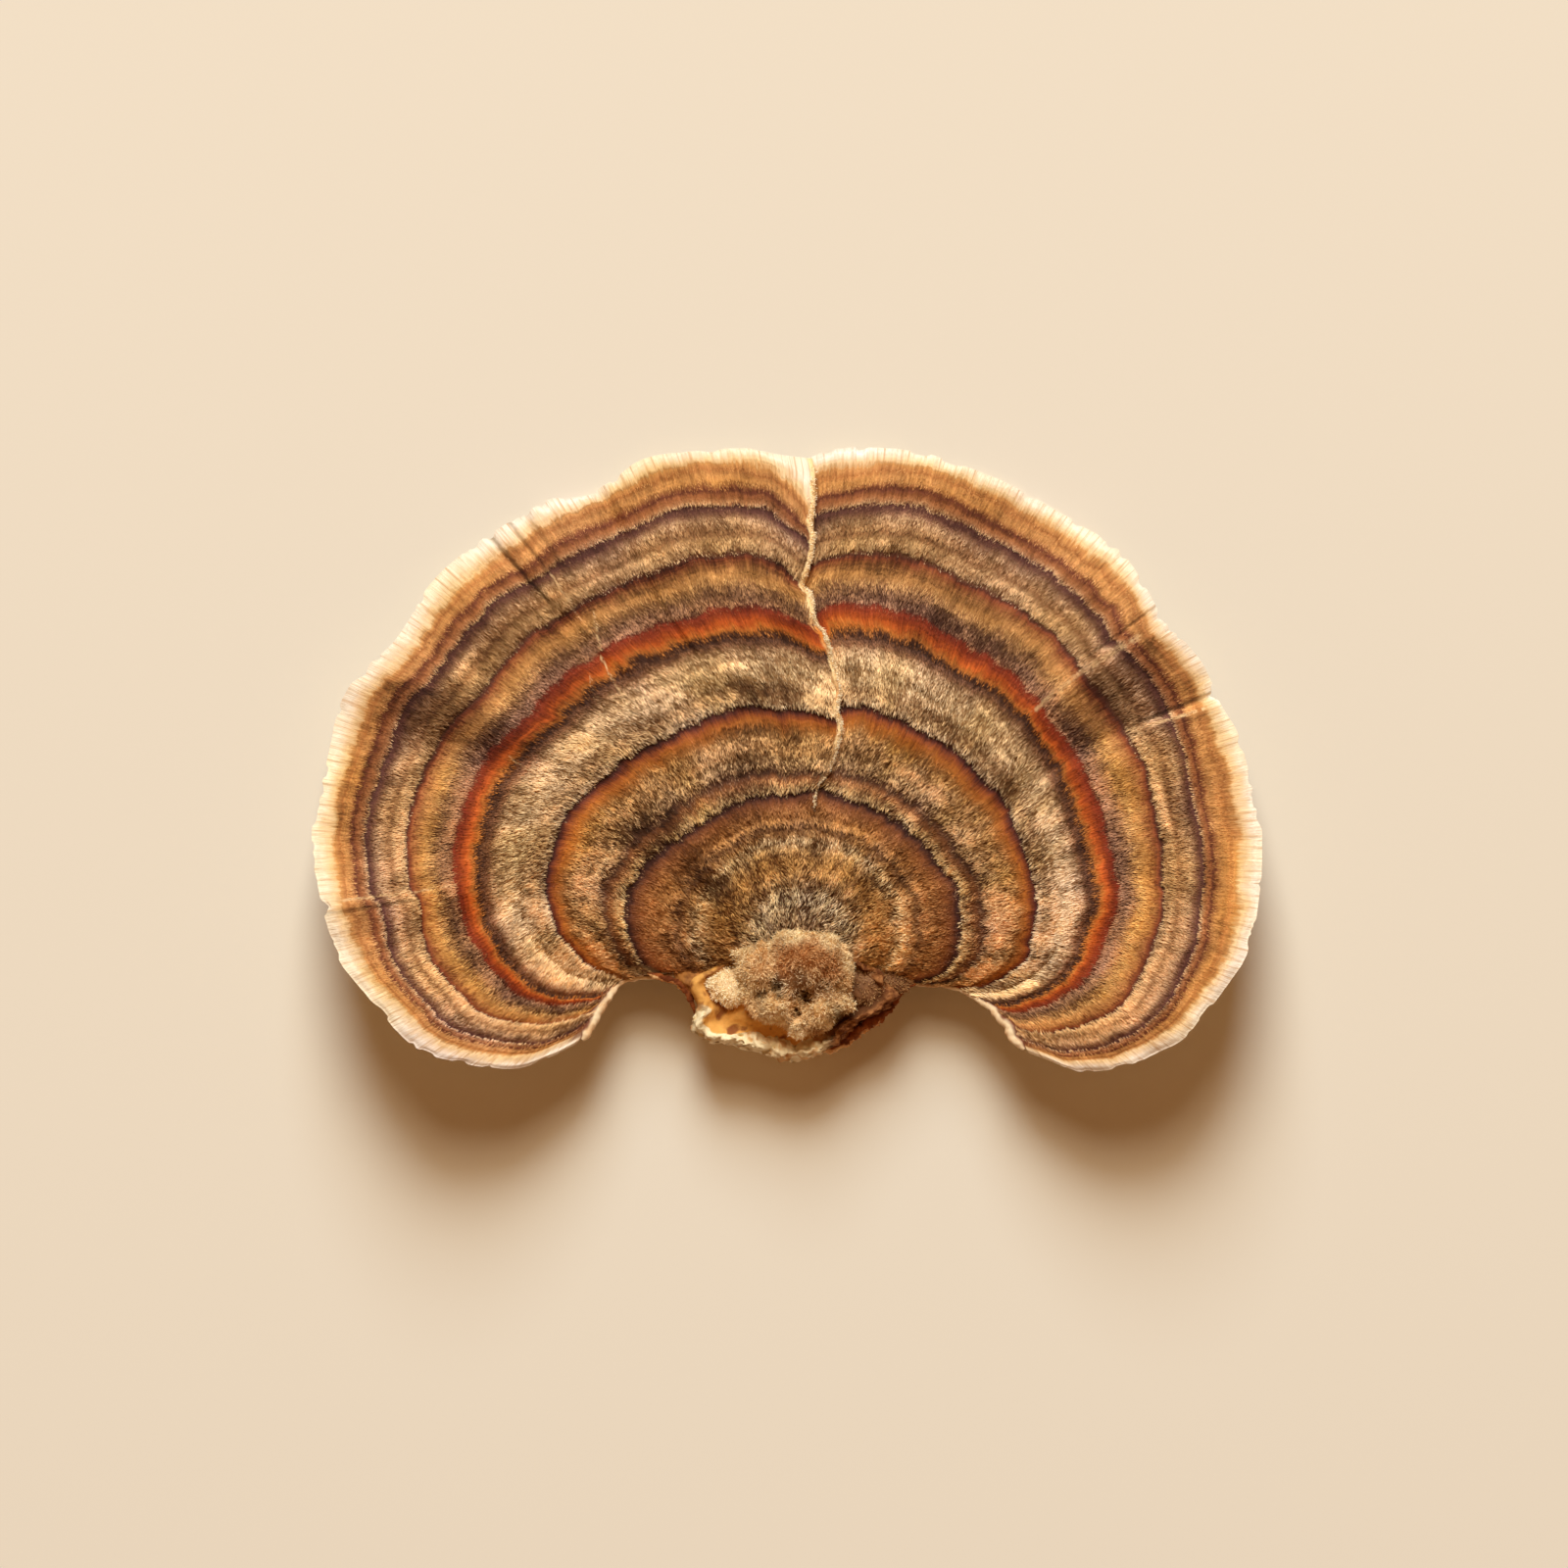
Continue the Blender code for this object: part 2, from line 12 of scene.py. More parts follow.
import bmesh
import bpy
import numpy as np
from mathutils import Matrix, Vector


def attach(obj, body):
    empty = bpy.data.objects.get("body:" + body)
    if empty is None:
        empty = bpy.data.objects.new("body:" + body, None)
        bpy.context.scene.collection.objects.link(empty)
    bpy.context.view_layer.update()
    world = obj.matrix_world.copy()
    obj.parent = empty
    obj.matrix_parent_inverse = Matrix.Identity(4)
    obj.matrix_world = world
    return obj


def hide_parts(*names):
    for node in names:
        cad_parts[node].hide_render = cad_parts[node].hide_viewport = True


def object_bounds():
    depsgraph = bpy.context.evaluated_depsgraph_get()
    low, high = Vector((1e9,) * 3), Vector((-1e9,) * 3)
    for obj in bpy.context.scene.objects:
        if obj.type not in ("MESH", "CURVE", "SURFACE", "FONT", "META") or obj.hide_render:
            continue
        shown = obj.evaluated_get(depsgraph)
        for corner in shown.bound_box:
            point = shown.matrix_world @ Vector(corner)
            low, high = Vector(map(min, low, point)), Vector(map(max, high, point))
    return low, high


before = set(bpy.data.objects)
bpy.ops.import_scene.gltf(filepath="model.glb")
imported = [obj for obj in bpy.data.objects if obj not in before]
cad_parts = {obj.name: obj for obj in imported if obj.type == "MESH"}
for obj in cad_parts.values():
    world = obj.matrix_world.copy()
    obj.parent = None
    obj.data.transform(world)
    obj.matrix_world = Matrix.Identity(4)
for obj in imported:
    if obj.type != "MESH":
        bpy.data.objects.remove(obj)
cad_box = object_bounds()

MM = 0.001
LOW, HIGH = (np.array(corner) / MM for corner in cad_box)
print("CAD box in mm:", np.round(LOW, 2), "to", np.round(HIGH, 2))

# %% [markdown]
# ## Helpers for numbers
#
# Almost everything here is a smooth blend from one value to another, or a smooth random value.
# Blender has noise functions of its own, but they take one point at a time. This one is value
# noise on a lattice, and numpy works it out for a million points at once. Its random numbers come
# from whole-number arithmetic, so it gives the same fungus on every run.

# %% Smooth steps and smooth noise


def smoothstep(low, high, value):
    share = np.clip((value - low) / (high - low), 0.0, 1.0)
    return share * share * (3.0 - 2.0 * share)


def plateau(value, start, full, fading, end):
    """0 up to start and from end on, 1 from full to fading and smooth between."""
    return smoothstep(start, full, value) * (1.0 - smoothstep(fading, end, value))


def read_table(table, value):
    """A table's second number for a value of its first, in straight lines from row to row."""
    return np.interp(value, *zip(*table))


def lattice_value(cells, seed):
    """A random number from -1 to 1 for each whole-numbered point."""
    x, y, z = (cells[..., axis] for axis in range(3))
    mixed = x * 73856093 ^ y * 19349663 ^ z * 83492791 ^ (seed * 2654435 + 97)
    for _ in range(2):
        mixed = (mixed ^ (mixed >> 13)) * 1274126177 & 0x7FFFFFFF
    return (mixed & 0xFFFFF) / 0x80000 - 1.0


def soft_noise(points, length, seed):
    """Smooth random values from -1 to 1, with lumps of about that length."""
    scaled = np.asarray(points, float) / length
    cells = np.floor(scaled).astype(np.int64)
    part = scaled - cells
    part = part * part * (3.0 - 2.0 * part)
    total = np.zeros(scaled.shape[:-1])
    for corner in range(8):
        offset = np.array([corner & 1, corner >> 1 & 1, corner >> 2 & 1])
        weight = np.prod(np.where(offset, part, 1.0 - part), axis=-1)
        total += weight * lattice_value(cells + offset, seed)
    return total


def rough_noise(points, length, seed, octaves=3):
    """Soft noise with finer and fainter noise added to it."""
    total = 0.0
    for octave in range(octaves):
        total = total + 0.55 ** octave * soft_noise(points, length * 0.47 ** octave, seed + octave)
    return total


def layered_noise(points, layers):
    """A sum of rough noises from a table: amount, length, seed, octaves."""
    return sum(amount * rough_noise(points, length, seed, octaves)
               for amount, length, seed, octaves in layers)


THREE_PLACES = np.array([[0.3, 0.2, 0.1], [4.0, 2.5, 0.0], [9.1, 3.3, 7.7]])
print("noise at three places:", np.round(soft_noise(THREE_PLACES, 1.0, 1), 3))

# %% [markdown]
# ## The growth lines
#
# The bracket grows outward from its knob, one narrow ring at a time, so every colour band follows
# a line on which the flesh was once the rim. A few of these lines, drawn as smooth curves, hold
# the whole form: each row of the skin is a blend of two of them. The tables are in millimetres
# from the growth centre, as the solid's are. Two numbers then name any place on the skin: its
# growth, 0 at the centre and 1 at the rim, and around, 0 on the left lobe's inner edge, 0.5 on
# the seam between the lobes and 1 on the right lobe's inner edge.

# %% The growth lines of the two lobes
# By growth, each from the seam round to the lobe's inner edge: x, y, height
LEFT_LOBE = {
    0.0: [(-0.5, -0.6, 5.0), (-0.8, -1.2, 4.9), (-0.8, -1.9, 4.6)],
    0.12: [(-0.3, 3.8, 6.2), (-1.6, 3.2, 6.2), (-2.7, 2.0, 6.0), (-3.3, 0.6, 5.6), (-3.2, -0.8, 5.0),
           (-2.6, -1.9, 4.5)],
    0.333: [(-0.3, 9.8, 6.8), (-1.8, 9.9, 6.8), (-3.5, 9.6, 6.7), (-5.2, 8.8, 6.7), (-6.8, 7.8, 6.6),
            (-8.2, 6.5, 6.5), (-9.6, 4.9, 6.3), (-10.7, 2.7, 5.9), (-10.5, 0.6, 5.4), (-9.7, -1.2, 4.6),
            (-8.9, -2.0, 4.0)],
    0.49: [(0.3, 15.1, 6.4), (-2.7, 15.3, 6.3), (-5.4, 14.8, 6.2), (-7.9, 13.7, 6.1), (-10.4, 12.3, 6.1),
           (-12.3, 10.4, 6.1), (-14.5, 7.8, 6.1), (-16.0, 4.6, 6.1), (-16.0, 2.4, 6.0), (-15.2, 0.3, 5.6),
           (-13.5, -1.4, 4.8), (-11.3, -2.4, 4.0)],
    0.655: [
        (0.0, 20.7, 5.3), (-3.7, 21.1, 5.1), (-7.4, 20.3, 4.9), (-10.8, 18.9, 4.7), (-14.1, 16.7, 4.8),
        (-16.7, 14.0, 5.0), (-19.3, 11.0, 5.4), (-20.7, 7.8, 5.8), (-21.4, 5.1, 6.1), (-21.3, 2.2, 6.4),
        (-20.5, 0.1, 6.5), (-19.1, -1.7, 6.4), (-17.7, -3.2, 6.0), (-15.5, -3.9, 5.4), (-13.4, -3.8, 4.8),
        (-12.1, -3.3, 4.4)],
    1.0: [
        (-1.2, 32.0, 1.7), (-3.5, 32.4, 1.5), (-6.8, 32.2, 1.4), (-10.2, 31.5, 1.1), (-13.2, 29.7, 0.55),
        (-16.5, 28.9, 0.35), (-19.7, 26.9, 0.9), (-23.6, 23.9, 1.7), (-26.2, 19.8, 2.6),
        (-29.0, 16.9, 3.4), (-30.0, 14.4, 3.9), (-31.1, 9.9, 4.9), (-31.6, 6.1, 6.0), (-30.8, 2.2, 7.6),
        (-29.5, -1.5, 8.8), (-27.2, -4.3, 9.2), (-24.8, -6.8, 9.0), (-21.7, -7.9, 8.3),
        (-18.3, -8.3, 7.2), (-16.0, -7.5, 6.3), (-14.2, -6.6, 5.5)],
}
RIGHT_LOBE = {
    0.0: [(0.7, -0.6, 5.0), (1.0, -1.2, 4.9), (1.0, -1.9, 4.6)],
    0.12: [(2.0, 3.5, 6.2), (3.1, 2.6, 6.1), (3.7, 1.3, 5.7), (3.7, -0.2, 5.1), (3.2, -1.5, 4.5)],
    0.333: [(2.7, 9.8, 6.7), (4.2, 9.5, 6.6), (6.6, 8.1, 6.5), (8.8, 5.8, 6.4), (10.4, 2.7, 6.0),
            (10.6, 0.4, 5.4), (9.6, -1.7, 4.5), (8.3, -2.4, 4.0), (7.7, -2.6, 3.8)],
    0.49: [(4.5, 15.6, 6.1), (5.8, 15.1, 6.1), (8.1, 14.1, 6.0), (10.5, 12.3, 6.0), (12.7, 10.0, 6.0),
           (14.3, 6.8, 6.1), (15.5, 4.0, 6.1), (15.7, 1.4, 5.9), (15.0, -1.2, 5.3), (12.8, -2.6, 4.4),
           (10.5, -2.9, 3.9)],
    0.655: [(3.7, 21.2, 5.0), (7.4, 20.4, 4.8), (10.9, 18.8, 4.6), (14.1, 16.7, 4.7), (16.4, 13.7, 4.9),
            (18.2, 10.5, 5.3), (19.6, 7.1, 5.8), (20.4, 4.0, 6.3), (20.5, 2.4, 6.5), (20.0, 0.6, 6.5),
            (18.7, -1.9, 6.4), (16.7, -3.4, 6.0), (14.1, -4.2, 5.3), (12.6, -4.0, 4.8)],
    1.0: [(2.9, 32.3, 1.2), (6.3, 32.4, 1.1), (9.6, 31.9, 0.9), (14.1, 30.0, 0.45), (18.6, 27.5, 0.4),
          (21.3, 25.7, 1.2), (23.1, 23.3, 2.1), (24.3, 21.1, 2.7), (26.6, 18.5, 3.2), (28.0, 15.6, 3.9),
          (29.1, 13.4, 4.4), (29.8, 10.5, 5.0), (30.5, 7.1, 5.9), (30.5, 3.7, 7.1), (29.6, -0.5, 8.7),
          (27.8, -3.4, 9.2), (25.2, -6.3, 9.0), (21.9, -8.0, 8.2), (18.7, -8.4, 7.4), (17.1, -7.9, 6.9),
          (15.3, -7.2, 6.2)],
}
# The seam between the lobes, from the notch in the rim to the growth centre: x and y
SEAM = [(1.0, 31.7), (1.2, 30.7), (1.2, 28.5), (0.9, 27.3), (1.2, 26.6), (1.0, 25.1), (0.4, 23.3),
        (1.0, 22.7), (1.2, 20.9), (1.8, 20.3), (2.2, 19.1), (2.6, 17.3), (2.9, 16.6), (2.6, 15.5),
        (3.0, 14.0), (2.6, 12.7), (2.1, 11.2), (1.3, 10.2), (1.1, 9.3), (0.9, 7.0), (0.8, 3.6), (0.1, -0.4)]
# How far along a growth line the seam pulls a lobe's edge into place, and lifts it
SEAM_REACH = 0.16
SEAM_LIFT_REACH = 0.07
# The left lobe's free edge lies over the seam and the right lobe's edge under it, in mm
OVERLAP = {"left": 0.16, "right": -0.3}
SEAM_LIFT = {"left": 0.5, "right": -0.25}
LOBES = {"left": LEFT_LOBE, "right": RIGHT_LOBE}
print("growth lines at", sorted(LEFT_LOBE))

# %% Smooth curves through the tables
CURVE_STEPS = 24


def blend_lines(levels, lines, rows):
    """Lines at the given rows, by a smooth cubic from each line to the next one."""
    levels = np.array(levels)
    lines = np.array(lines)
    gaps = np.diff(levels)
    slopes = np.diff(lines, axis=0) / gaps[:, None, None]
    tangents = np.concatenate([slopes[:1], slopes[:-1], slopes[-1:]])
    weight = (gaps[:-1] / (gaps[:-1] + gaps[1:]))[:, None, None]
    tangents[1:-1] = slopes[:-1] * (1.0 - weight) + slopes[1:] * weight
    index = np.clip(np.searchsorted(levels, rows) - 1, 0, len(gaps) - 1)
    share = ((rows - levels[index]) / gaps[index])[:, None, None]
    gap = gaps[index][:, None, None]
    square = share * share
    cube = square * share
    blended = (2.0 * cube - 3.0 * square + 1.0) * lines[index]
    blended += (cube - 2.0 * square + share) * gap * tangents[index]
    blended += (3.0 * square - 2.0 * cube) * lines[index + 1]
    blended += (cube - square) * gap * tangents[index + 1]
    return blended


def smooth_curve(points, shares):
    """Points at the given shares of the length of a smooth curve through the points."""
    points = np.array(points, float)
    last = len(points) - 1
    steps = np.linspace(0.0, last, CURVE_STEPS * last + 1)
    traced = blend_lines(np.arange(last + 1), points[:, None], steps)[:, 0]
    lengths = np.linalg.norm(np.diff(traced[:, :2], axis=0), axis=1)
    along = np.concatenate([[0.0], np.cumsum(lengths)])
    wanted = np.asarray(shares) * along[-1]
    return np.stack([np.interp(wanted, along, traced[:, axis]) for axis in range(3)], axis=1)


def seam_at(rows):
    """The seam's x and y where each growth row meets it."""
    seam = np.array(SEAM[::-1])
    reach = np.hypot(seam[:, 0], seam[:, 1])
    reach[0] = 0.0
    share = reach / reach[-1]
    return np.stack([np.interp(rows, share, seam[:, axis]) for axis in range(2)], axis=1)


def lobe_grid(name, rows, stations):
    """The lobe's plain form, rows by stations, before it gets folds, ledges and edges."""
    table = LOBES[name]
    levels = sorted(table)
    lines = []
    for level in levels:
        seam_x, seam_y = seam_at([level])[0]
        lines.append(smooth_curve([(seam_x, seam_y, table[level][0][2])] + table[level], stations))
    grid = blend_lines(levels, lines, rows)
    overlap = OVERLAP[name] * smoothstep(0.08, 0.25, rows)
    wanted = seam_at(rows) + np.stack([overlap, np.zeros(len(rows))], axis=1)
    nearness = (1.0 - np.clip(stations / SEAM_REACH, 0.0, 1.0)) ** 2
    grid[:, :, :2] += (wanted - grid[:, 0, :2])[:, None, :] * nearness[None, :, None]
    lifted = SEAM_LIFT[name] * smoothstep(0.2, 0.5, rows)[:, None]
    grid[:, :, 2] += lifted * (1.0 - smoothstep(0.0, SEAM_LIFT_REACH, stations))
    return grid


RIM_ROWS = [0.976, 0.982, 0.987, 0.991, 0.9945, 0.997, 0.999, 1.0]
ROWS = np.concatenate([np.linspace(0.0, 0.97, 150), RIM_ROWS])
SEAM_STATIONS = [0.0, 0.0012, 0.0025, 0.004, 0.006, 0.009, 0.0125]
INNER_EDGE_STATIONS = [0.988, 0.992, 0.996, 0.998, 1.0]
STATIONS = np.concatenate([SEAM_STATIONS, np.linspace(0.016, 0.984, 380), INNER_EDGE_STATIONS])
plain = {name: lobe_grid(name, ROWS, STATIONS) for name in LOBES}
everything = np.concatenate([grid.reshape(-1, 3) for grid in plain.values()])
MIDDLE = 0.5 * (everything.min(axis=0) + everything.max(axis=0))
MIDDLE[2] = 0.0
print("skin grid:", len(ROWS), "rows by", len(STATIONS), "stations a lobe; growth centre at",
      np.round(-MIDDLE, 2))

# %% [markdown]
# ## Where the bands run
#
# The bands don't follow the growth lines exactly. They wander, jump at the sharp folds, and turn
# in along the left lobe's free edge at the seam, because that edge was a rim as well. Each entry
# below names one line by its usual growth, and gives its real growth at places around the cap.
# The skin then carries a number of its own for this, its band, which is what the colours read.

# %% Where the lines really run
# Ten dark or bright lines by their usual growth: around, growth
LINE_COURSES = {
    0.245: [
        (0.0, 0.262), (0.15, 0.25), (0.28, 0.26), (0.35, 0.258), (0.48, 0.262), (0.52, 0.26),
        (0.62, 0.258), (0.74, 0.266), (0.85, 0.266), (1.0, 0.266)],
    0.333: [
        (0.0, 0.345), (0.04, 0.352), (0.09, 0.342), (0.15, 0.336), (0.22, 0.328), (0.29, 0.32),
        (0.35, 0.318), (0.42, 0.324), (0.49, 0.332), (0.51, 0.334), (0.56, 0.323), (0.6, 0.32),
        (0.66, 0.326), (0.72, 0.335), (0.8, 0.342), (0.88, 0.336), (0.95, 0.345), (1.0, 0.346)],
    0.376: [
        (0.0, 0.392), (0.05, 0.388), (0.15, 0.378), (0.22, 0.372), (0.3, 0.372), (0.4, 0.37),
        (0.49, 0.37), (0.51, 0.368), (0.62, 0.37), (0.7, 0.376), (0.8, 0.384), (0.9, 0.388), (1.0, 0.392)],
    0.49: [
        (0.0, 0.516), (0.04, 0.495), (0.09, 0.492), (0.15, 0.49), (0.19, 0.498), (0.25, 0.5),
        (0.3, 0.489), (0.35, 0.485), (0.38, 0.494), (0.42, 0.494), (0.48, 0.487), (0.52, 0.487),
        (0.58, 0.482), (0.64, 0.488), (0.7, 0.49), (0.74, 0.507), (0.8, 0.492), (0.88, 0.491),
        (0.94, 0.488), (1.0, 0.52)],
    0.629: [
        (0.0, 0.63), (0.09, 0.629), (0.155, 0.62), (0.19, 0.628), (0.25, 0.635), (0.29, 0.632),
        (0.35, 0.62), (0.42, 0.624), (0.5, 0.62), (0.56, 0.62), (0.64, 0.619), (0.73, 0.631),
        (0.8, 0.617), (0.87, 0.613), (0.93, 0.622), (1.0, 0.632)],
    0.655: [
        (0.0, 0.648), (0.08, 0.652), (0.13, 0.65), (0.19, 0.662), (0.25, 0.67), (0.32, 0.664),
        (0.38, 0.658), (0.47, 0.658), (0.52, 0.662), (0.6, 0.657), (0.69, 0.653), (0.76, 0.659),
        (0.82, 0.655), (0.88, 0.648), (0.94, 0.66), (1.0, 0.67)],
    0.787: [
        (0.0, 0.757), (0.04, 0.762), (0.08, 0.787), (0.11, 0.784), (0.148, 0.757), (0.156, 0.778),
        (0.21, 0.786), (0.27, 0.787), (0.35, 0.781), (0.375, 0.775), (0.4, 0.783), (0.49, 0.778),
        (0.52, 0.778), (0.58, 0.782), (0.62, 0.791), (0.66, 0.788), (0.693, 0.782), (0.75, 0.79),
        (0.79, 0.794), (0.845, 0.774), (0.88, 0.784), (0.92, 0.809), (1.0, 0.812)],
    0.88: [
        (0.0, 0.857), (0.05, 0.865), (0.08, 0.882), (0.11, 0.876), (0.149, 0.858), (0.156, 0.876),
        (0.22, 0.875), (0.27, 0.883), (0.33, 0.882), (0.38, 0.867), (0.4, 0.885), (0.46, 0.879),
        (0.5, 0.875), (0.57, 0.88), (0.62, 0.888), (0.66, 0.878), (0.692, 0.872), (0.697, 0.89),
        (0.745, 0.888), (0.78, 0.878), (0.82, 0.872), (0.86, 0.87), (0.9, 0.896), (0.94, 0.905),
        (1.0, 0.9)],
    0.914: [
        (0.0, 0.875), (0.05, 0.888), (0.08, 0.904), (0.11, 0.902), (0.149, 0.889), (0.156, 0.906),
        (0.22, 0.911), (0.3, 0.917), (0.375, 0.904), (0.4, 0.92), (0.46, 0.914), (0.5, 0.912),
        (0.57, 0.917), (0.63, 0.918), (0.66, 0.914), (0.692, 0.904), (0.697, 0.914), (0.742, 0.915),
        (0.76, 0.9), (0.8, 0.892), (0.86, 0.892), (0.9, 0.914), (0.94, 0.925), (1.0, 0.92)],
    0.96: [
        (0.0, 0.905), (0.03, 0.915), (0.06, 0.932), (0.12, 0.944), (0.15, 0.95), (0.2, 0.95),
        (0.3, 0.953), (0.385, 0.957), (0.395, 0.971), (0.46, 0.973), (0.5, 0.971), (0.6, 0.97),
        (0.69, 0.967), (0.72, 0.96), (0.78, 0.96), (0.82, 0.952), (0.88, 0.957), (0.93, 0.95), (1.0, 0.94)],
}
# Near the seam: how much further out the bands read than they lie, and how far from the seam
SEAM_TURN = {
    "left": ([(0.0, 0.0), (0.5, 0.02), (0.63, 0.034), (0.79, 0.055), (0.88, 0.08), (1.0, 0.075)], 3.6),
    "right": ([(0.0, 0.0), (0.6, 0.008), (0.79, 0.03), (0.88, 0.03), (0.91, 0.018), (1.0, 0.015)], 1.2),
}
print(len(LINE_COURSES), "lines with a course of their own")

# %% The band of every place on the skin
# About the length of the rim, over which the number around runs, in mm
RIM_LENGTH = 130.0
# How the bands wander by noise: amount, length in mm, seed, octaves
BAND_WANDER = [(0.005, 5.0, 11, 1), (0.0055, 1.7, 12, 1), (0.0035, 0.6, 13, 1)]
around = {"left": 0.5 - 0.5 * STATIONS, "right": 0.5 + 0.5 * STATIONS}


def distance_from_seam(grid):
    steps = np.linalg.norm(np.diff(grid[:, :, :2], axis=1), axis=2)
    return np.concatenate([np.zeros((len(grid), 1)), np.cumsum(steps, axis=1)], axis=1)


def unrolled(name, width, height):
    """A lobe's skin laid out flat, that wide and high: the places at which noise is read."""
    return np.stack(np.broadcast_arrays(around[name][None, :] * width, ROWS[:, None] * height, 0.0), axis=2)


def read_bands(name):
    """The band of every point of the lobe's grid."""
    levels = sorted(LINE_COURSES)
    courses = np.array([read_table(LINE_COURSES[level], around[name]) for level in levels])
    found = np.empty(plain[name].shape[:2])
    for station in range(len(STATIONS)):
        lines = np.concatenate([[0.0], courses[:, station], [1.0]])
        found[:, station] = np.interp(ROWS, lines, [0.0] + levels + [1.0])
    turns, reach = SEAM_TURN[name]
    nearness = (1.0 - np.clip(distance_from_seam(plain[name]) / reach, 0.0, 1.0)) ** 2
    found += read_table(turns, ROWS)[:, None] * nearness
    wander = layered_noise(unrolled(name, RIM_LENGTH, 12.0), BAND_WANDER)
    return np.clip(found + wander, 0.0, 1.0)


bands = {name: read_bands(name) for name in LOBES}
print("bands run from", round(float(bands["left"].min()), 3), "to", round(float(bands["left"].max()), 3))

# %% [markdown]
# ## The skin's relief
#
# Each band is a low terrace with a furrow at its edges, and the cap is pleated here and there
# from its middle to its rim, some pleats gentle and some as sharp as a crease. The rim is thin,
# slightly ragged and ruffled. Height noise gives the dried flesh its small dents. The hairy
# bands keep a little below the solid's surface, so that the hairs' tips stay inside it.

# %% Folds, ledges and edges
ZONE_EDGES = [0.12, 0.2, 0.27, 0.333, 0.41, 0.49, 0.56, 0.629, 0.69, 0.787, 0.88, 0.955]
LEDGE_OUTLINE = [(0.0, 0.0), (0.1, 0.55), (0.28, 1.0), (0.75, 0.75), (0.92, 0.3), (1.0, 0.0)]
LEDGE_HEIGHT = 0.17
FOLDS = [
    (0.0, 0.0), (0.05, 0.12), (0.1, 0.0), (0.125, -0.3), (0.152, 0.32), (0.19, 0.05), (0.235, -0.42),
    (0.272, 0.4), (0.31, 0.0), (0.345, -0.12), (0.353, 0.15), (0.4, -0.12), (0.406, 0.16), (0.45, 0.0),
    (0.55, 0.1), (0.62, 0.0), (0.66, 0.12), (0.694, 0.5), (0.742, -0.5), (0.75, 0.18), (0.8, 0.0),
    (0.85, 0.1), (0.9, -0.1), (0.95, 0.1), (1.0, 0.0)]
FOLDS_START = 0.4
FOLDS_FULL = 0.8
THICKNESS = [
    (0.0, 3.0), (0.12, 2.8), (0.333, 2.3), (0.655, 1.6), (0.9, 0.95), (0.976, 0.55), (0.995, 0.3),
    (1.0, 0.16)]
INNER_EDGE_THINNING = 0.55
INNER_EDGE_REACH = 0.05
RIM_EDGE_DROP = 0.16
CHIP_DEPTH = 0.2
# Notches in the rim: around, half width, depth in mm
NOTCHES = [
    (0.1525, 0.004, 0.5), (0.205, 0.005, 0.3), (0.262, 0.006, 0.35), (0.347, 0.003, 0.35),
    (0.366, 0.003, 0.3), (0.392, 0.004, 0.25), (0.455, 0.006, 0.2), (0.655, 0.004, 0.35),
    (0.663, 0.003, 0.3), (0.697, 0.003, 0.3), (0.743, 0.004, 0.45), (0.806, 0.005, 0.25),
    (0.86, 0.003, 0.25)]
LIP_ROUNDING = 0.16
LIP_REACH = 0.24
HAIR_ROOM = 0.06
LEAST_THICKNESS = 0.08
# How far in the ragged rim lies, by noise and at most, and how high it is ruffled, in mm
RAGGED_BY = 0.11
RAGGED_NOISE = 0.09
RAGGED_MOST = 0.3
RUFFLE_HEIGHT = 0.1
# Noises of the rim's chips and of the dried skin's dents: amount, length in mm, seed, octaves
FRAYING = [(1.0, 0.9, 24, 1), (0.5, 0.35, 25, 1)]
DENTS = [(0.05, 2.6, 41, 3), (0.018, 0.35, 45, 1)]


def fold_lift(around_shares, rows):
    places, heights = (np.array(column) for column in zip(*FOLDS))
    index = np.clip(np.searchsorted(places, around_shares) - 1, 0, len(places) - 2)
    share = smoothstep(places[index], places[index + 1], around_shares)
    lift = heights[index] + (heights[index + 1] - heights[index]) * share
    return smoothstep(FOLDS_START, FOLDS_FULL, rows)[:, None] * lift[None, :]


def ledge_lift(band_grid):
    edges = np.array([0.0] + ZONE_EDGES + [1.0])
    index = np.clip(np.searchsorted(edges, band_grid, side="right") - 1, 0, len(edges) - 2)
    share = (band_grid - edges[index]) / (edges[index + 1] - edges[index])
    return LEDGE_HEIGHT * read_table(LEDGE_OUTLINE, share) * (1.0 - 0.6 * smoothstep(0.85, 1.0, band_grid))


print("folds at", len(FOLDS), "places,", len(ZONE_EDGES) + 1, "ledges and", len(NOTCHES), "notches")

# %% The skin and the pore surface of each lobe


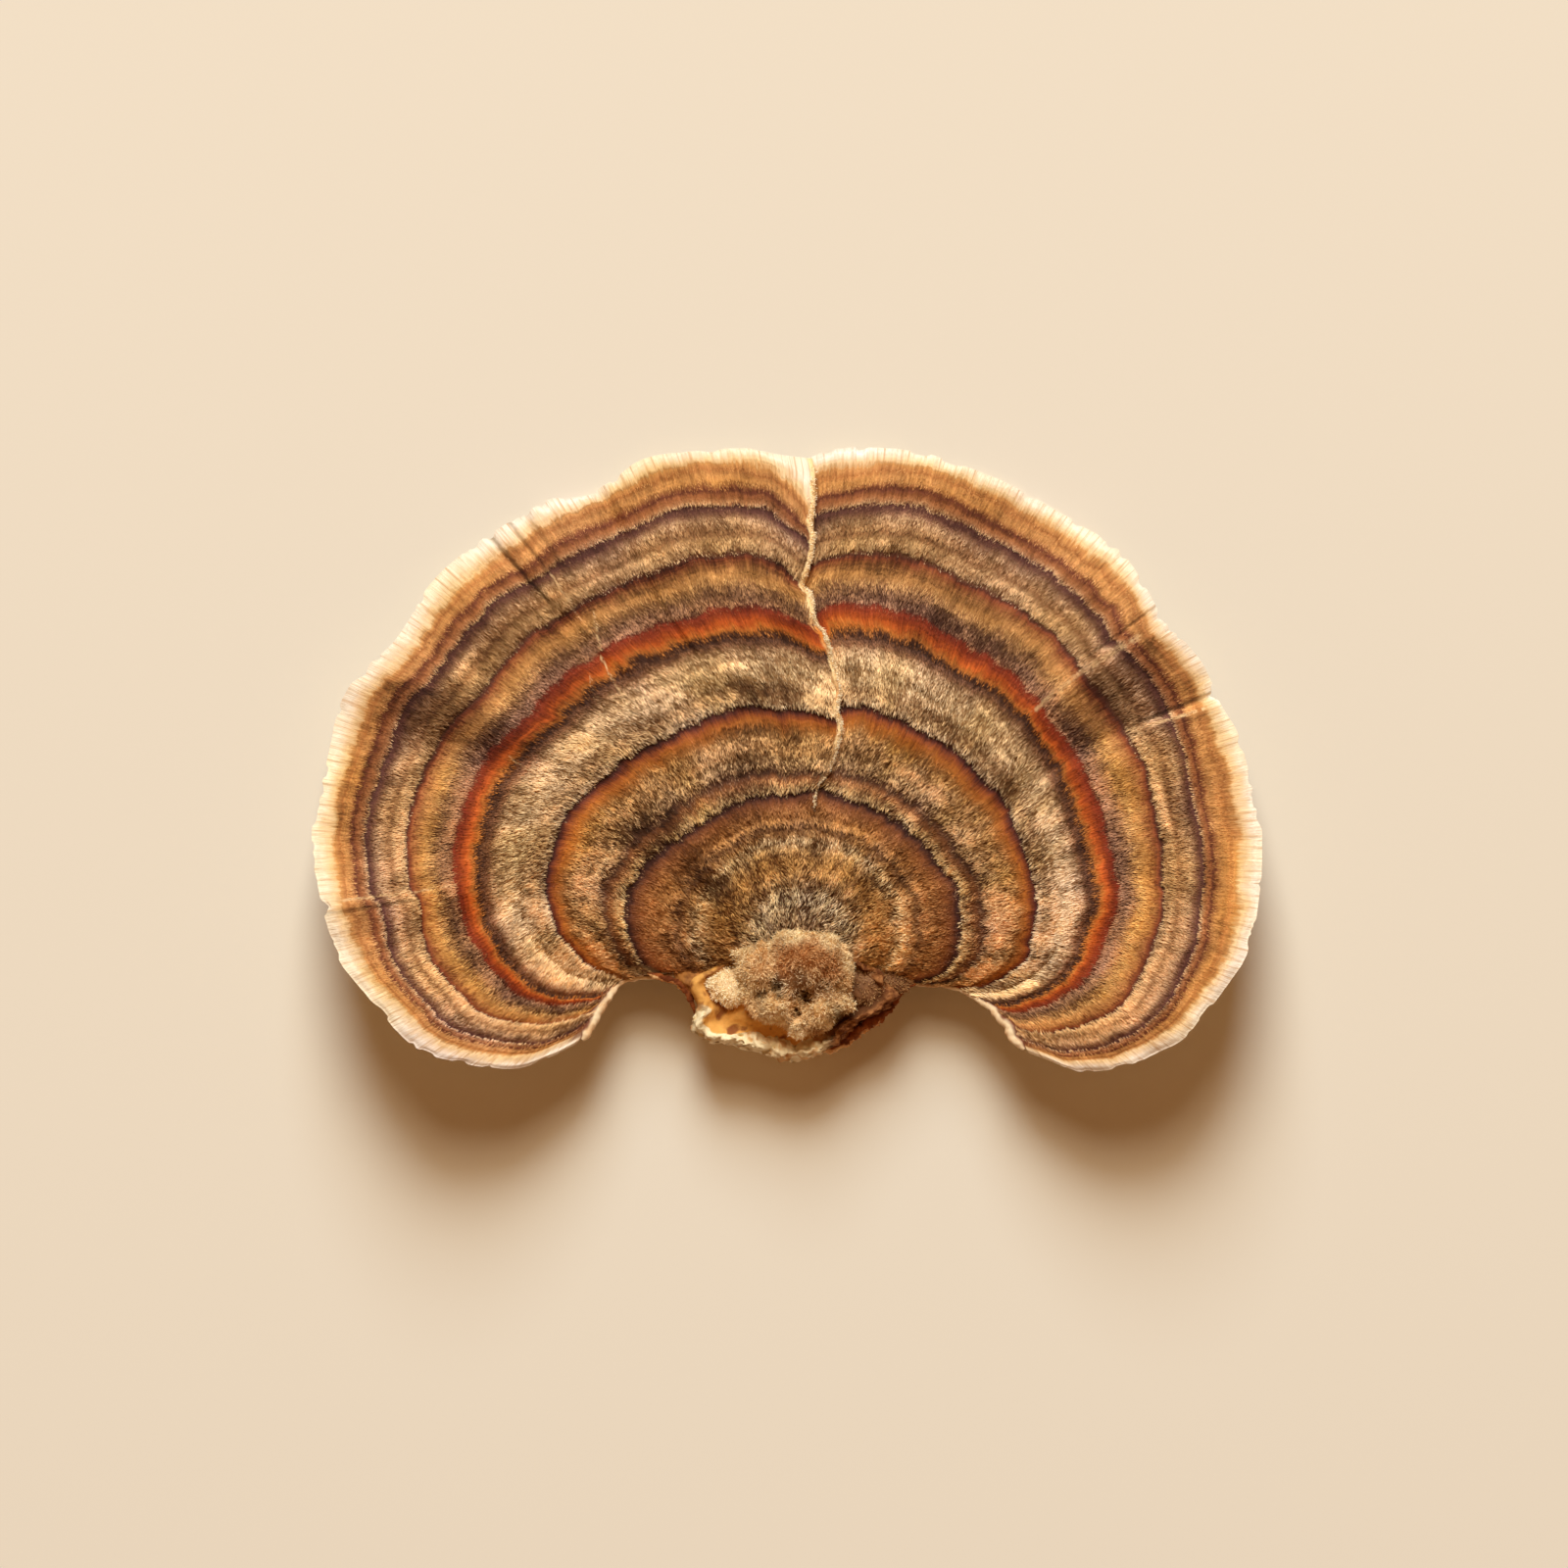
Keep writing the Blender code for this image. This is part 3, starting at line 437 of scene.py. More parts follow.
def shape_lobe(name):
    """The skin and the pore surface of one lobe, both rows by stations."""
    skin = plain[name].copy()
    spots = around[name]
    inside = smoothstep(0.0, INNER_EDGE_REACH, np.minimum(spots, 1.0 - spots))
    skin[:, :, 2] += fold_lift(spots, ROWS)
    outward = np.gradient(skin, axis=0)
    outward[:, :, 2] = 0.0
    outward /= np.linalg.norm(outward, axis=2, keepdims=True) + 1e-9
    rim_path = np.stack([spots * RIM_LENGTH, np.zeros(len(spots)), np.zeros(len(spots))], axis=1)
    ragged = RAGGED_BY + RAGGED_NOISE * rough_noise(rim_path, 3.5, 21, 4)
    edge = smoothstep(0.94, 1.0, ROWS)
    skin -= outward * (edge[:, None] * np.clip(ragged, 0.0, RAGGED_MOST)[None, :])[:, :, None]
    chips = CHIP_DEPTH * smoothstep(0.1, 0.75, layered_noise(rim_path, FRAYING))
    for place, half_width, deep in NOTCHES:
        chips = np.maximum(chips, deep * np.clip(1.0 - np.abs(spots - place) / half_width, 0.0, 1.0))
    skin -= outward * (smoothstep(0.972, 1.0, ROWS)[:, None] * chips[None, :])[:, :, None]
    skin[:, :, 2] += RUFFLE_HEIGHT * edge[:, None] * rough_noise(rim_path, 1.6, 31, 2)[None, :]
    pores = skin.copy()
    depth = read_table(THICKNESS, ROWS)
    pores[:, :, 2] -= depth[:, None] * (1.0 - INNER_EDGE_THINNING * (1.0 - inside))[None, :]
    skin[:, :, 2] += ledge_lift(bands[name]) * inside[None, :]
    skin[:, :, 2] += layered_noise(skin, DENTS) - HAIR_ROOM
    drop = RIM_EDGE_DROP * smoothstep(0.965, 1.0, ROWS) ** 2
    skin[:, :, 2] -= drop[:, None]
    pores[:, :, 2] -= drop[:, None]
    gap = distance_from_seam(plain[name])
    lip = (1.0 - np.clip(gap / LIP_REACH, 0.0, 1.0)) ** 2
    skin[:, :, 2] -= LIP_ROUNDING * lip * smoothstep(0.15, 0.4, ROWS)[:, None]
    pores[:, :, 2] = np.minimum(pores[:, :, 2], skin[:, :, 2] - LEAST_THICKNESS)
    return skin - MIDDLE, pores - MIDDLE, gap


skins = {}
pore_sides = {}
seam_gaps = {}
for name in LOBES:
    skins[name], pore_sides[name], seam_gaps[name] = shape_lobe(name)
    print(name, "lobe: lowest", np.round(pore_sides[name].reshape(-1, 3).min(axis=0), 2), "highest",
          np.round(skins[name].reshape(-1, 3).max(axis=0), 2))

# %% [markdown]
# ## Meshes from numbers
#
# A mesh of this size is best handed to Blender as whole arrays. The helper below takes points in
# millimetres, quads and triangles, and named numbers for each point, which the materials read
# with an Attribute node. It also takes a tidy map for baking the colours.

# %% One helper that makes every mesh
MAP_SPAN = (0.02, 0.98)


def make_piece(name, points, quads, triangles, numbers, corner_map, smooth=True):
    """A mesh object from arrays, with its point numbers and its bake map."""
    points = np.clip(points, LOW, HIGH) * MM
    corners = np.concatenate([np.asarray(quads, int).ravel(), np.asarray(triangles, int).ravel()])
    sizes = np.concatenate([np.full(len(quads), 4), np.full(len(triangles), 3)])
    starts = np.concatenate([[0], np.cumsum(sizes)[:-1]])
    data = bpy.data.meshes.new(name)
    data.vertices.add(len(points))
    data.vertices.foreach_set("co", points.astype(np.float32).ravel())
    data.loops.add(len(corners))
    data.loops.foreach_set("vertex_index", corners.astype(np.int32))
    data.polygons.add(len(sizes))
    data.polygons.foreach_set("loop_start", starts.astype(np.int32))
    data.update(calc_edges=True)
    for label, values in numbers.items():
        attribute = data.attributes.new(label, "FLOAT", "POINT")
        attribute.data.foreach_set("value", np.asarray(values, np.float32).ravel())
    layer = data.uv_layers.new(name="OFBake")
    layer.uv.foreach_set("vector", np.asarray(corner_map, np.float32).ravel())
    data.polygons.foreach_set("use_smooth", np.full(len(sizes), smooth))
    piece = bpy.data.objects.new(name, data)
    bpy.context.scene.collection.objects.link(piece)
    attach(piece, "root")
    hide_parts("bracket_cap")
    print(name, "has", len(points), "points and", 2 * len(quads) + len(triangles), "triangles")
    return piece


def grid_quads(rows, stations, first, facing_up):
    """Point numbers of the quads of a grid whose points start at that number."""
    index = first + np.arange(rows * stations).reshape(rows, stations)
    corners = [index[:-1, :-1], index[1:, :-1], index[1:, 1:], index[:-1, 1:]]
    quads = np.stack(corners, axis=2).reshape(-1, 4)
    return quads if facing_up else quads[:, ::-1]


def make_sheet(name, points, numbers, facing_up):
    """A piece from rows of points, with its bake map spread evenly over them."""
    rows, stations = points.shape[:2]
    quads = grid_quads(rows, stations, 0, facing_up)
    across, down = np.meshgrid(np.linspace(*MAP_SPAN, stations), np.linspace(*MAP_SPAN, rows))
    point_map = np.stack([across.ravel(), down.ravel()], axis=1)
    return make_piece(name, points.reshape(-1, 3), quads, [], numbers, point_map[quads.ravel()])


def cell_map(count, corners):
    """A bake map with a square cell of its own for each triangle or hair, and these corners in it."""
    cells = int(math.ceil(math.sqrt(count)))
    cell = np.stack([np.arange(count) % cells, np.arange(count) // cells], axis=1)
    return ((cell[:, None, :] + np.array(corners)[None]) / cells).reshape(-1, 2)


def join_edges(first, second, heights_first, heights_second):
    """Triangles between two edges of points, each with its place along the wall."""
    triangles = []
    i = 0
    j = 0
    while i < len(first) - 1 or j < len(second) - 1:
        ahead = j == len(second) - 1
        if ahead or (i < len(first) - 1 and heights_first[i + 1] <= heights_second[j + 1]):
            triangles.append((first[i], first[i + 1], second[j]))
            i += 1
        else:
            triangles.append((first[i], second[j + 1], second[j]))
            j += 1
    return triangles


print("the mesh helpers are ready")

# %% [markdown]
# ## Light, dark and golden places
#
# No band has one colour all the way round. Some places are lighter or darker flesh, some are
# painted shade in the pleats, in the creases and beside the knob, and some are painted highlight
# on the lit sides of the pleats; and the silk turns golden where it is thick. Each entry below names
# such a place by its middle and its half size, and noise breaks its edge. The skin and its hairs
# carry the sums as two more numbers, "light" and "golden", so one table serves both materials.

# %% Tables of the places
# Lighter and darker places, partly the flesh's own tone and partly painted shade in pleats,
# creases and beside the knob and painted highlight on the lit sides of pleats: around, half width,
# growth, half height, and how much
TONE_SHADE_AND_HIGHLIGHT_SPOTS = [
    (0.13, 0.02, 0.8, 0.035, -0.3), (0.133, 0.02, 0.71, 0.03, -0.3), (0.08, 0.08, 0.575, 0.04, 0.25),
    (0.19, 0.05, 0.525, 0.022, -0.3), (0.24, 0.022, 0.63, 0.02, 0.3), (0.235, 0.02, 0.585, 0.03, 0.2),
    (0.258, 0.02, 0.79, 0.19, -0.42), (0.262, 0.01, 0.89, 0.06, -0.3), (0.2, 0.05, 0.35, 0.03, -0.35),
    (0.215, 0.03, 0.405, 0.035, -0.4), (0.26, 0.025, 0.38, 0.045, -0.4), (0.08, 0.04, 0.25, 0.02, 0.15),
    (0.15, 0.1, 0.215, 0.02, -0.15), (0.26, 0.06, 0.29, 0.02, -0.3), (0.23, 0.05, 0.27, 0.05, -0.35),
    (0.1, 0.09, 0.82, 0.035, 0.2), (0.09, 0.09, 0.735, 0.022, 0.2), (0.19, 0.05, 0.82, 0.04, 0.12),
    (0.13, 0.15, 0.79, 0.11, 0.15), (0.151, 0.006, 0.82, 0.06, 0.35), (0.387, 0.006, 0.385, 0.03, -0.4),
    (0.4, 0.1, 0.405, 0.01, -0.35), (0.59, 0.09, 0.402, 0.01, -0.15), (0.23, 0.045, 0.21, 0.05, -0.45),
    (0.3, 0.045, 0.585, 0.02, 0.25), (0.4, 0.045, 0.58, 0.03, 0.2), (0.33, 0.03, 0.53, 0.028, -0.3),
    (0.43, 0.05, 0.54, 0.025, -0.4), (0.26, 0.05, 0.595, 0.02, 0.25), (0.29, 0.04, 0.57, 0.02, 0.2),
    (0.478, 0.016, 0.525, 0.035, 0.3), (0.465, 0.025, 0.755, 0.022, -0.25),
    (0.28, 0.025, 0.755, 0.02, 0.15), (0.36, 0.03, 0.87, 0.02, -0.2), (0.36, 0.02, 0.2, 0.015, 0.25),
    (0.44, 0.05, 0.2, 0.012, 0.3), (0.55, 0.05, 0.585, 0.02, 0.1), (0.665, 0.06, 0.562, 0.012, 0.4),
    (0.6, 0.1, 0.53, 0.014, -0.15), (0.4, 0.1, 0.535, 0.014, -0.15), (0.715, 0.02, 0.532, 0.024, -0.35),
    (0.62, 0.07, 0.7, 0.02, -0.28), (0.53, 0.035, 0.757, 0.022, -0.22), (0.745, 0.003, 0.88, 0.06, 0.3),
    (0.76, 0.03, 0.585, 0.03, 0.15), (0.85, 0.1, 0.575, 0.035, 0.3), (0.85, 0.1, 0.74, 0.02, 0.15),
    (0.94, 0.03, 0.735, 0.02, -0.3), (0.89, 0.08, 0.85, 0.03, 0.2), (0.86, 0.11, 0.41, 0.04, 0.28),
    (0.88, 0.1, 0.15, 0.03, 0.25), (0.6, 0.09, 0.165, 0.02, 0.15), (0.4, 0.1, 0.763, 0.02, -0.6),
    (0.6, 0.1, 0.762, 0.016, -0.36), (0.4, 0.09, 0.802, 0.012, -0.3), (0.59, 0.08, 0.802, 0.01, -0.15),
    (0.07, 0.06, 0.86, 0.02, 0.25), (0.08, 0.06, 0.92, 0.015, 0.12), (0.87, 0.1, 0.915, 0.014, -0.15),
    (0.4, 0.1, 0.27, 0.02, 0.15), (0.4, 0.1, 0.845, 0.012, -0.12), (0.4, 0.1, 0.72, 0.02, -0.12),
    (0.5, 0.18, 0.662, 0.012, -0.12), (0.88, 0.08, 0.525, 0.02, 0.2), (0.9, 0.08, 0.205, 0.02, 0.3),
    (0.82, 0.05, 0.27, 0.02, 0.2), (0.7, 0.04, 0.21, 0.02, -0.25), (0.6, 0.1, 0.2, 0.012, 0.2),
    (0.14, 0.12, 0.645, 0.02, 0.1), (0.4, 0.1, 0.197, 0.01, -0.2), (0.85, 0.11, 0.235, 0.012, 0.2),
    (0.39, 0.1, 0.775, 0.012, -0.2), (0.39, 0.1, 0.59, 0.008, -0.2), (0.39, 0.1, 0.56, 0.01, -0.1),
    (0.6, 0.1, 0.56, 0.012, -0.15), (0.39, 0.1, 0.45, 0.012, -0.25), (0.6, 0.08, 0.45, 0.012, -0.2),
    (0.39, 0.1, 0.5, 0.008, 0.2), (0.85, 0.12, 0.5, 0.012, 0.3), (0.85, 0.12, 0.635, 0.02, 0.3),
    (0.85, 0.12, 0.715, 0.02, 0.2), (0.39, 0.1, 0.36, 0.008, 0.2), (0.6, 0.1, 0.36, 0.008, 0.25),
    (0.85, 0.1, 0.4, 0.012, 0.2), (0.15, 0.1, 0.53, 0.02, 0.2), (0.6, 0.1, 0.25, 0.01, -0.2),
    (0.4, 0.09, 0.21, 0.01, 0.3), (0.6, 0.09, 0.21, 0.01, 0.35), (0.85, 0.1, 0.2, 0.02, 0.4),
    (0.15, 0.1, 0.21, 0.012, 0.3), (0.15, 0.1, 0.235, 0.01, -0.2), (0.86, 0.1, 0.28, 0.015, 0.2),
    (0.87, 0.1, 0.16, 0.02, 0.2), (0.4, 0.08, 0.15, 0.015, 0.25), (0.6, 0.08, 0.15, 0.015, 0.1),
    (0.85, 0.1, 0.82, 0.012, 0.15), (0.85, 0.12, 0.93, 0.01, 0.2), (0.225, 0.035, 0.595, 0.03, -0.3),
    (0.225, 0.03, 0.46, 0.025, -0.25), (0.335, 0.02, 0.54, 0.02, -0.25), (0.51, 0.025, 0.57, 0.03, -0.3),
    (0.04, 0.05, 0.45, 0.04, 0.5), (0.03, 0.04, 0.62, 0.025, 0.45), (0.04, 0.045, 0.31, 0.03, 0.5),
    (0.02, 0.03, 0.76, 0.04, 0.4), (0.95, 0.05, 0.44, 0.04, 0.5), (0.97, 0.03, 0.59, 0.03, 0.5),
    (0.95, 0.03, 0.87, 0.03, 0.4), (0.975, 0.025, 0.31, 0.02, 0.4), (0.97, 0.03, 0.77, 0.03, 0.4),
    (0.44, 0.025, 0.83, 0.03, -0.25), (0.44, 0.02, 0.76, 0.02, -0.25), (0.235, 0.015, 0.84, 0.02, 0.3),
    (0.285, 0.025, 0.85, 0.03, 0.3), (0.405, 0.012, 0.8, 0.025, 0.3), (0.68, 0.035, 0.59, 0.012, 0.35),
    (0.69, 0.02, 0.52, 0.03, 0.25), (0.43, 0.025, 0.23, 0.03, -0.3), (0.73, 0.02, 0.235, 0.012, 0.25),
    (0.84, 0.012, 0.55, 0.03, -0.25), (0.29, 0.02, 0.625, 0.015, 0.3), (0.145, 0.02, 0.615, 0.015, 0.3),
    (0.745, 0.01, 0.62, 0.03, 0.3), (0.6, 0.02, 0.23, 0.015, -0.3), (0.78, 0.03, 0.39, 0.015, -0.3),
    (0.5, 0.17, 1.0, 0.025, -0.1), (0.42, 0.09, 0.456, 0.01, -0.3), (0.59, 0.08, 0.456, 0.01, -0.15),
    (0.86, 0.12, 0.447, 0.01, 0.22), (0.87, 0.12, 0.425, 0.01, 0.15), (0.86, 0.12, 0.54, 0.012, 0.22),
    (0.4, 0.1, 0.36, 0.01, 0.2), (0.4, 0.1, 0.22, 0.012, 0.22), (0.6, 0.1, 0.22, 0.012, 0.25),
    (0.87, 0.12, 0.255, 0.03, 0.3), (0.87, 0.12, 0.34, 0.05, 0.15), (0.13, 0.1, 0.39, 0.05, 0.15),
    (0.13, 0.12, 0.33, 0.03, 0.15), (0.4, 0.1, 0.285, 0.01, 0.12), (0.6, 0.1, 0.285, 0.01, 0.15),
    (0.87, 0.1, 0.27, 0.012, 0.2), (0.4, 0.12, 0.17, 0.02, 0.12), (0.6, 0.12, 0.17, 0.02, 0.14),
    (0.6, 0.1, 0.27, 0.025, 0.22), (0.6, 0.1, 0.56, 0.014, -0.15), (0.15, 0.1, 0.56, 0.012, -0.12),
    (0.4, 0.08, 0.505, 0.012, -0.15), (0.87, 0.1, 0.61, 0.018, 0.25), (0.294, 0.002, 0.75, 0.007, -0.6),
    (0.19, 0.002, 0.367, 0.006, 0.6), (0.66, 0.06, 0.415, 0.012, 0.25), (0.54, 0.04, 0.415, 0.012, -0.2)]
# Painted highlight on the smooth crests of the sharp pleats: around, half width, from growth, to growth
RIDGE_HIGHLIGHT_PLACES = [(0.6965, 0.0045, 0.67, 0.9), (0.154, 0.003, 0.67, 0.94), (0.7455, 0.002, 0.83, 0.97)]
# Painted shade in the pleat between the right lobe's two sharp creases, and the strength of the painted
# highlight on the crests
PLEAT_SHADE = 0.42
RIDGE_HIGHLIGHT_STRENGTH = 0.2
# Golden places, and where below 0 greyer ones, in the same way
GOLDEN_SPOTS = [
    (0.19, 0.06, 0.465, 0.02, 0.5), (0.1, 0.03, 0.655, 0.02, 0.3), (0.86, 0.12, 0.745, 0.03, 0.5),
    (0.06, 0.05, 0.73, 0.03, 0.3), (0.3, 0.06, 0.75, 0.03, 0.2), (0.62, 0.1, 0.45, 0.02, 0.5),
    (0.8, 0.1, 0.45, 0.02, 0.4), (0.45, 0.04, 0.655, 0.02, 0.4), (0.58, 0.06, 0.27, 0.02, 0.5),
    (0.4, 0.05, 0.27, 0.02, 0.4), (0.86, 0.08, 0.93, 0.02, 0.4), (0.2, 0.06, 0.93, 0.02, 0.2),
    (0.12, 0.12, 0.75, 0.025, 0.35), (0.5, 0.12, 0.93, 0.02, 0.2), (0.08, 0.06, 0.89, 0.02, -0.4),
    (0.3, 0.12, 0.7, 0.02, -0.4), (0.6, 0.12, 0.7, 0.02, -0.4), (0.86, 0.12, 0.7, 0.02, -0.3),
    (0.7195, 0.025, 0.83, 0.05, -0.3), (0.25, 0.06, 0.4, 0.05, -0.3), (0.28, 0.1, 0.56, 0.05, -0.2),
    (0.85, 0.12, 0.56, 0.05, -0.25)]
print(len(TONE_SHADE_AND_HIGHLIGHT_SPOTS), "light and dark places,", len(GOLDEN_SPOTS), "golden ones")

# %% Light and golden numbers for the skin


def spotted(name, places, seed):
    """The places' strengths, added up over the lobe's skin, with broken edges."""
    path = unrolled(name, 110.0, 30.0)
    broken = layered_noise(path, [(0.35, 1.6, seed, 1), (0.3, 0.6, seed + 1, 1)])
    total = np.zeros(path.shape[:2])
    for spot, half_width, level, half_height, strength in places:
        across = (around[name] - spot) / half_width
        apart = np.hypot(across[None, :], (ROWS[:, None] - level) / half_height) + broken
        total += strength * (1.0 - smoothstep(0.4, 1.2, apart))
    return total


def lightness(name):
    """How much lighter or darker the skin is than its band's colour: the flesh's own tone, the spots,
    painted shade in the pleat between the sharp creases and painted highlight on their crests.
    """
    path = unrolled(name, 100.0, 18.0)
    slow = 0.13 * rough_noise(path, 5.0, 51, 3) + 0.1 * rough_noise(skins[name], 1.0, 57, 3)
    slow += 0.17 * rough_noise(unrolled(name, 36.0, 34.0), 1.0, 53, 2)
    # Painted shade in the pleat between the right lobe's two sharp creases, and painted highlight on the
    # crests
    shaded_pleat = plateau(around[name], 0.7, 0.704, 0.738, 0.744)
    pleat_shade_and_highlights = -PLEAT_SHADE * shaded_pleat[None, :] * plateau(ROWS, 0.66, 0.72, 0.95, 0.98)[:, None]
    for place, half_width, low, high in RIDGE_HIGHLIGHT_PLACES:
        ridge = np.clip(1.0 - np.abs(around[name] - place) / half_width, 0.0, 1.0)
        reach = plateau(ROWS, low - 0.02, low + 0.02, high - 0.02, high + 0.02)
        pleat_shade_and_highlights += RIDGE_HIGHLIGHT_STRENGTH * ridge[None, :] * reach[:, None]
    return np.clip(slow + pleat_shade_and_highlights + spotted(name, TONE_SHADE_AND_HIGHLIGHT_SPOTS, 63), -0.6, 0.6)


def goldenness(name):
    slow = 0.3 * rough_noise(unrolled(name, 100.0, 25.0), 3.5, 67, 3)
    return np.clip(slow + spotted(name, GOLDEN_SPOTS, 69), -0.7, 0.9)


lights = {name: lightness(name) for name in LOBES}
goldens = {name: goldenness(name) for name in LOBES}
print("lightness of the left lobe: middle", round(float(np.median(lights["left"])), 3))

# %% [markdown]
# ## The two lobes
#
# A lobe is a closed shell: a fine skin above, a coarser pore surface below, and walls around.
# It could be one plane with a Solidify modifier, but the flesh is 3 mm thick at the base and
# paper-thin at the rim, so both surfaces come from the growth lines. The left lobe's free edge
# lies over the right one, and the right one's edge runs on below it, so the seam has real depth.

# %% Build the lobes
PORE_ROWS = np.unique(np.concatenate([np.arange(0, 150, 8), np.arange(149, len(ROWS))]))


def quads_between(first, second):
    """Quads between two edges of as many points."""
    return np.stack([first[:-1], second[:-1], second[1:], first[1:]], axis=1)


def build_lobe(name):
    """One lobe as a closed shell: its skin, its pore surface and the walls around them."""
    skin = skins[name]
    pores = pore_sides[name][PORE_ROWS]
    rows, stations = skin.shape[:2]
    pore_rows = len(pores)
    first_pore = rows * stations
    skin_quads = grid_quads(rows, stations, 0, name == "right")
    pore_quads = grid_quads(pore_rows, stations, first_pore, name != "right")
    skin_index = np.arange(first_pore).reshape(rows, stations)
    pore_index = first_pore + np.arange(pore_rows * stations).reshape(pore_rows, stations)
    rim = quads_between(skin_index[-1], pore_index[-1])
    root = quads_between(pore_index[0], skin_index[0])
    if name != "right":
        rim = rim[:, ::-1]
        root = root[:, ::-1]
    walls = []
    for edge in (0, -1):
        wall = join_edges(skin_index[:, edge], pore_index[:, edge], ROWS, ROWS[PORE_ROWS])
        flip = (edge == 0) == (name == "right")
        walls += [triangle[::-1] for triangle in wall] if flip else wall
    quads = np.concatenate([skin_quads, pore_quads, rim, root])
    across = np.tile(STATIONS * 0.92 + 0.04, rows + pore_rows)
    down = np.repeat(np.concatenate([1.0 - 0.76 * ROWS, 0.22 * ROWS[PORE_ROWS]]), stations)
    point_map = np.stack([across, down], axis=1)
    quad_map = point_map[quads.ravel()]
    root_corners = len(root) * 4
    quad_map[-root_corners:, 1] = 0.0
    wall_corners = np.array(walls).ravel()
    wall_map = point_map[wall_corners]
    under = wall_corners >= first_pore
    growth = ROWS[PORE_ROWS][(wall_corners[under] - first_pore) // stations]
    wall_map[under, 1] = np.interp(growth, [0.0, 1.0], [1.0, 0.24])
    seam_side = wall_map[:, 0] < 0.5
    wall_map[:, 0] = np.where(seam_side, np.where(under, 0.01, 0.03), np.where(under, 0.99, 0.97))
    values = {
        "band": bands[name],
        "growth": np.repeat(ROWS[:, None], stations, axis=1),
        "around": np.tile(around[name], (rows, 1)),
        "seam_gap": seam_gaps[name],
        "light": lights[name],
        "golden": goldens[name],
    }
    numbers = {label: np.concatenate([grid.ravel(), grid[PORE_ROWS].ravel()])
               for label, grid in values.items()}
    numbers["under"] = np.concatenate([np.zeros(first_pore), np.ones(pore_rows * stations)])
    points = np.concatenate([skin.reshape(-1, 3), pores.reshape(-1, 3)])
    return make_piece(f"{name}_lobe", points, quads, walls, numbers, np.concatenate([quad_map, wall_map]))


lobes = {name: build_lobe(name) for name in LOBES}

# %% [markdown]
# ## Nodes as plain expressions
#
# The finish is shader maths: a band's colour comes from its growth, and streaks, stains and
# mottling change it. Written as Python expressions it reads like a formula. The class wraps a
# node's output, so that adding or multiplying two of them adds the Math node that does it.

# %% A socket that can be used in expressions
BUMP_DEPTH = 0.0001


class Wire:
    """A node's output. Its node tree comes with it, so it can add the next node."""

    def __init__(self, tree, socket=None):
        self.tree = tree
        self.socket = socket

    def feed(self, node, inputs):
        """Gives a node's sockets their values or links."""
        for label, value in inputs.items():
            if isinstance(value, Wire):
                self.tree.links.new(value.socket, node.inputs[label])
            else:
                node.inputs[label].default_value = value

    def node(self, kind, settings=None, inputs=None, output=0):
        """Adds a node: its settings first, then the values or links of its sockets."""
        made = self.tree.nodes.new(kind)
        for label, value in (settings or {}).items():
            if label == "stops":
                fill_ramp(made.color_ramp, value)
            else:
                setattr(made, label, value)
        self.feed(made, inputs or {})
        return Wire(self.tree, made.outputs[output])

    def math(self, operation, *values):
        return self.node("ShaderNodeMath", {"operation": operation}, dict(enumerate(values)))

    def __add__(self, other):
        return self.math("ADD", self, other)

    __radd__ = __add__

    def __sub__(self, other):
        return self.math("SUBTRACT", self, other)

    def __rsub__(self, other):
        return self.math("SUBTRACT", other, self)

    def __mul__(self, other):
        return self.math("MULTIPLY", self, other)

    __rmul__ = __mul__

    def __abs__(self):
        return self.math("ABSOLUTE", self)

    def power(self, other):
        return self.math("POWER", self, other)

    def above(self, low, high):
        """0 below low, 1 above high and smooth between."""
        inputs = {"Value": self, "From Min": low, "From Max": high}
        return self.node("ShaderNodeMapRange", {"interpolation_type": "SMOOTHSTEP"}, inputs)

    def near(self, place, half_width):
        """1 at the place, 0 at half_width from it and beyond."""
        return 1.0 - abs(self - place).above(0.0, half_width)

    def plateau(self, start, full, fading, end):
        """0 up to start and from end on, 1 from full to fading and smooth between."""
        return self.above(start, full) * (1.0 - self.above(fading, end))

    def number(self, label):
        """One of the mesh's point numbers."""
        return self.node("ShaderNodeAttribute", {"attribute_name": label}, output="Fac")

    def numbers(self, *labels):
        return [self.number(label) for label in labels]

    def noise(self, vector, scale, detail=2.0, roughness=0.6):
        inputs = {"Vector": vector, "Scale": scale, "Detail": detail, "Roughness": roughness}
        return self.node("ShaderNodeTexNoise", None, inputs)

    def place(self, x, y, z=0.0):
        return self.node("ShaderNodeCombineXYZ", None, {"X": x, "Y": y, "Z": z})

    def streaks(self, x, y, z=0.0, detail=2.0, roughness=0.6):
        """Noise at a place worked out from the mesh's numbers, so that it can be drawn out."""
        return self.noise(self.place(x, y, z), 1.0, detail, roughness)

    def cloud(self, scale, roughness=0.6):
        """Even noise all through the piece."""
        return self.noise(self.node("ShaderNodeTexCoord", output="Object"), scale, 3.0, roughness)

    def ramp(self, value, stops):
        return self.node("ShaderNodeValToRGB", {"stops": stops}, {"Fac": value})

    def mix(self, share, first, second, blend="MIX"):
        settings = {"data_type": "RGBA", "blend_type": blend}
        return self.node("ShaderNodeMix", settings, {0: share, 6: first, 7: second}, output=2)

    def shade(self, colour, red, green, blue):
        """The colour with its three parts multiplied."""
        return self.mix(1.0, colour, self.place(red, green, blue), "MULTIPLY")

    def bump(self, height, strength):
        inputs = {"Height": height, "Strength": strength, "Distance": BUMP_DEPTH}
        return self.node("ShaderNodeBump", None, inputs, "Normal")


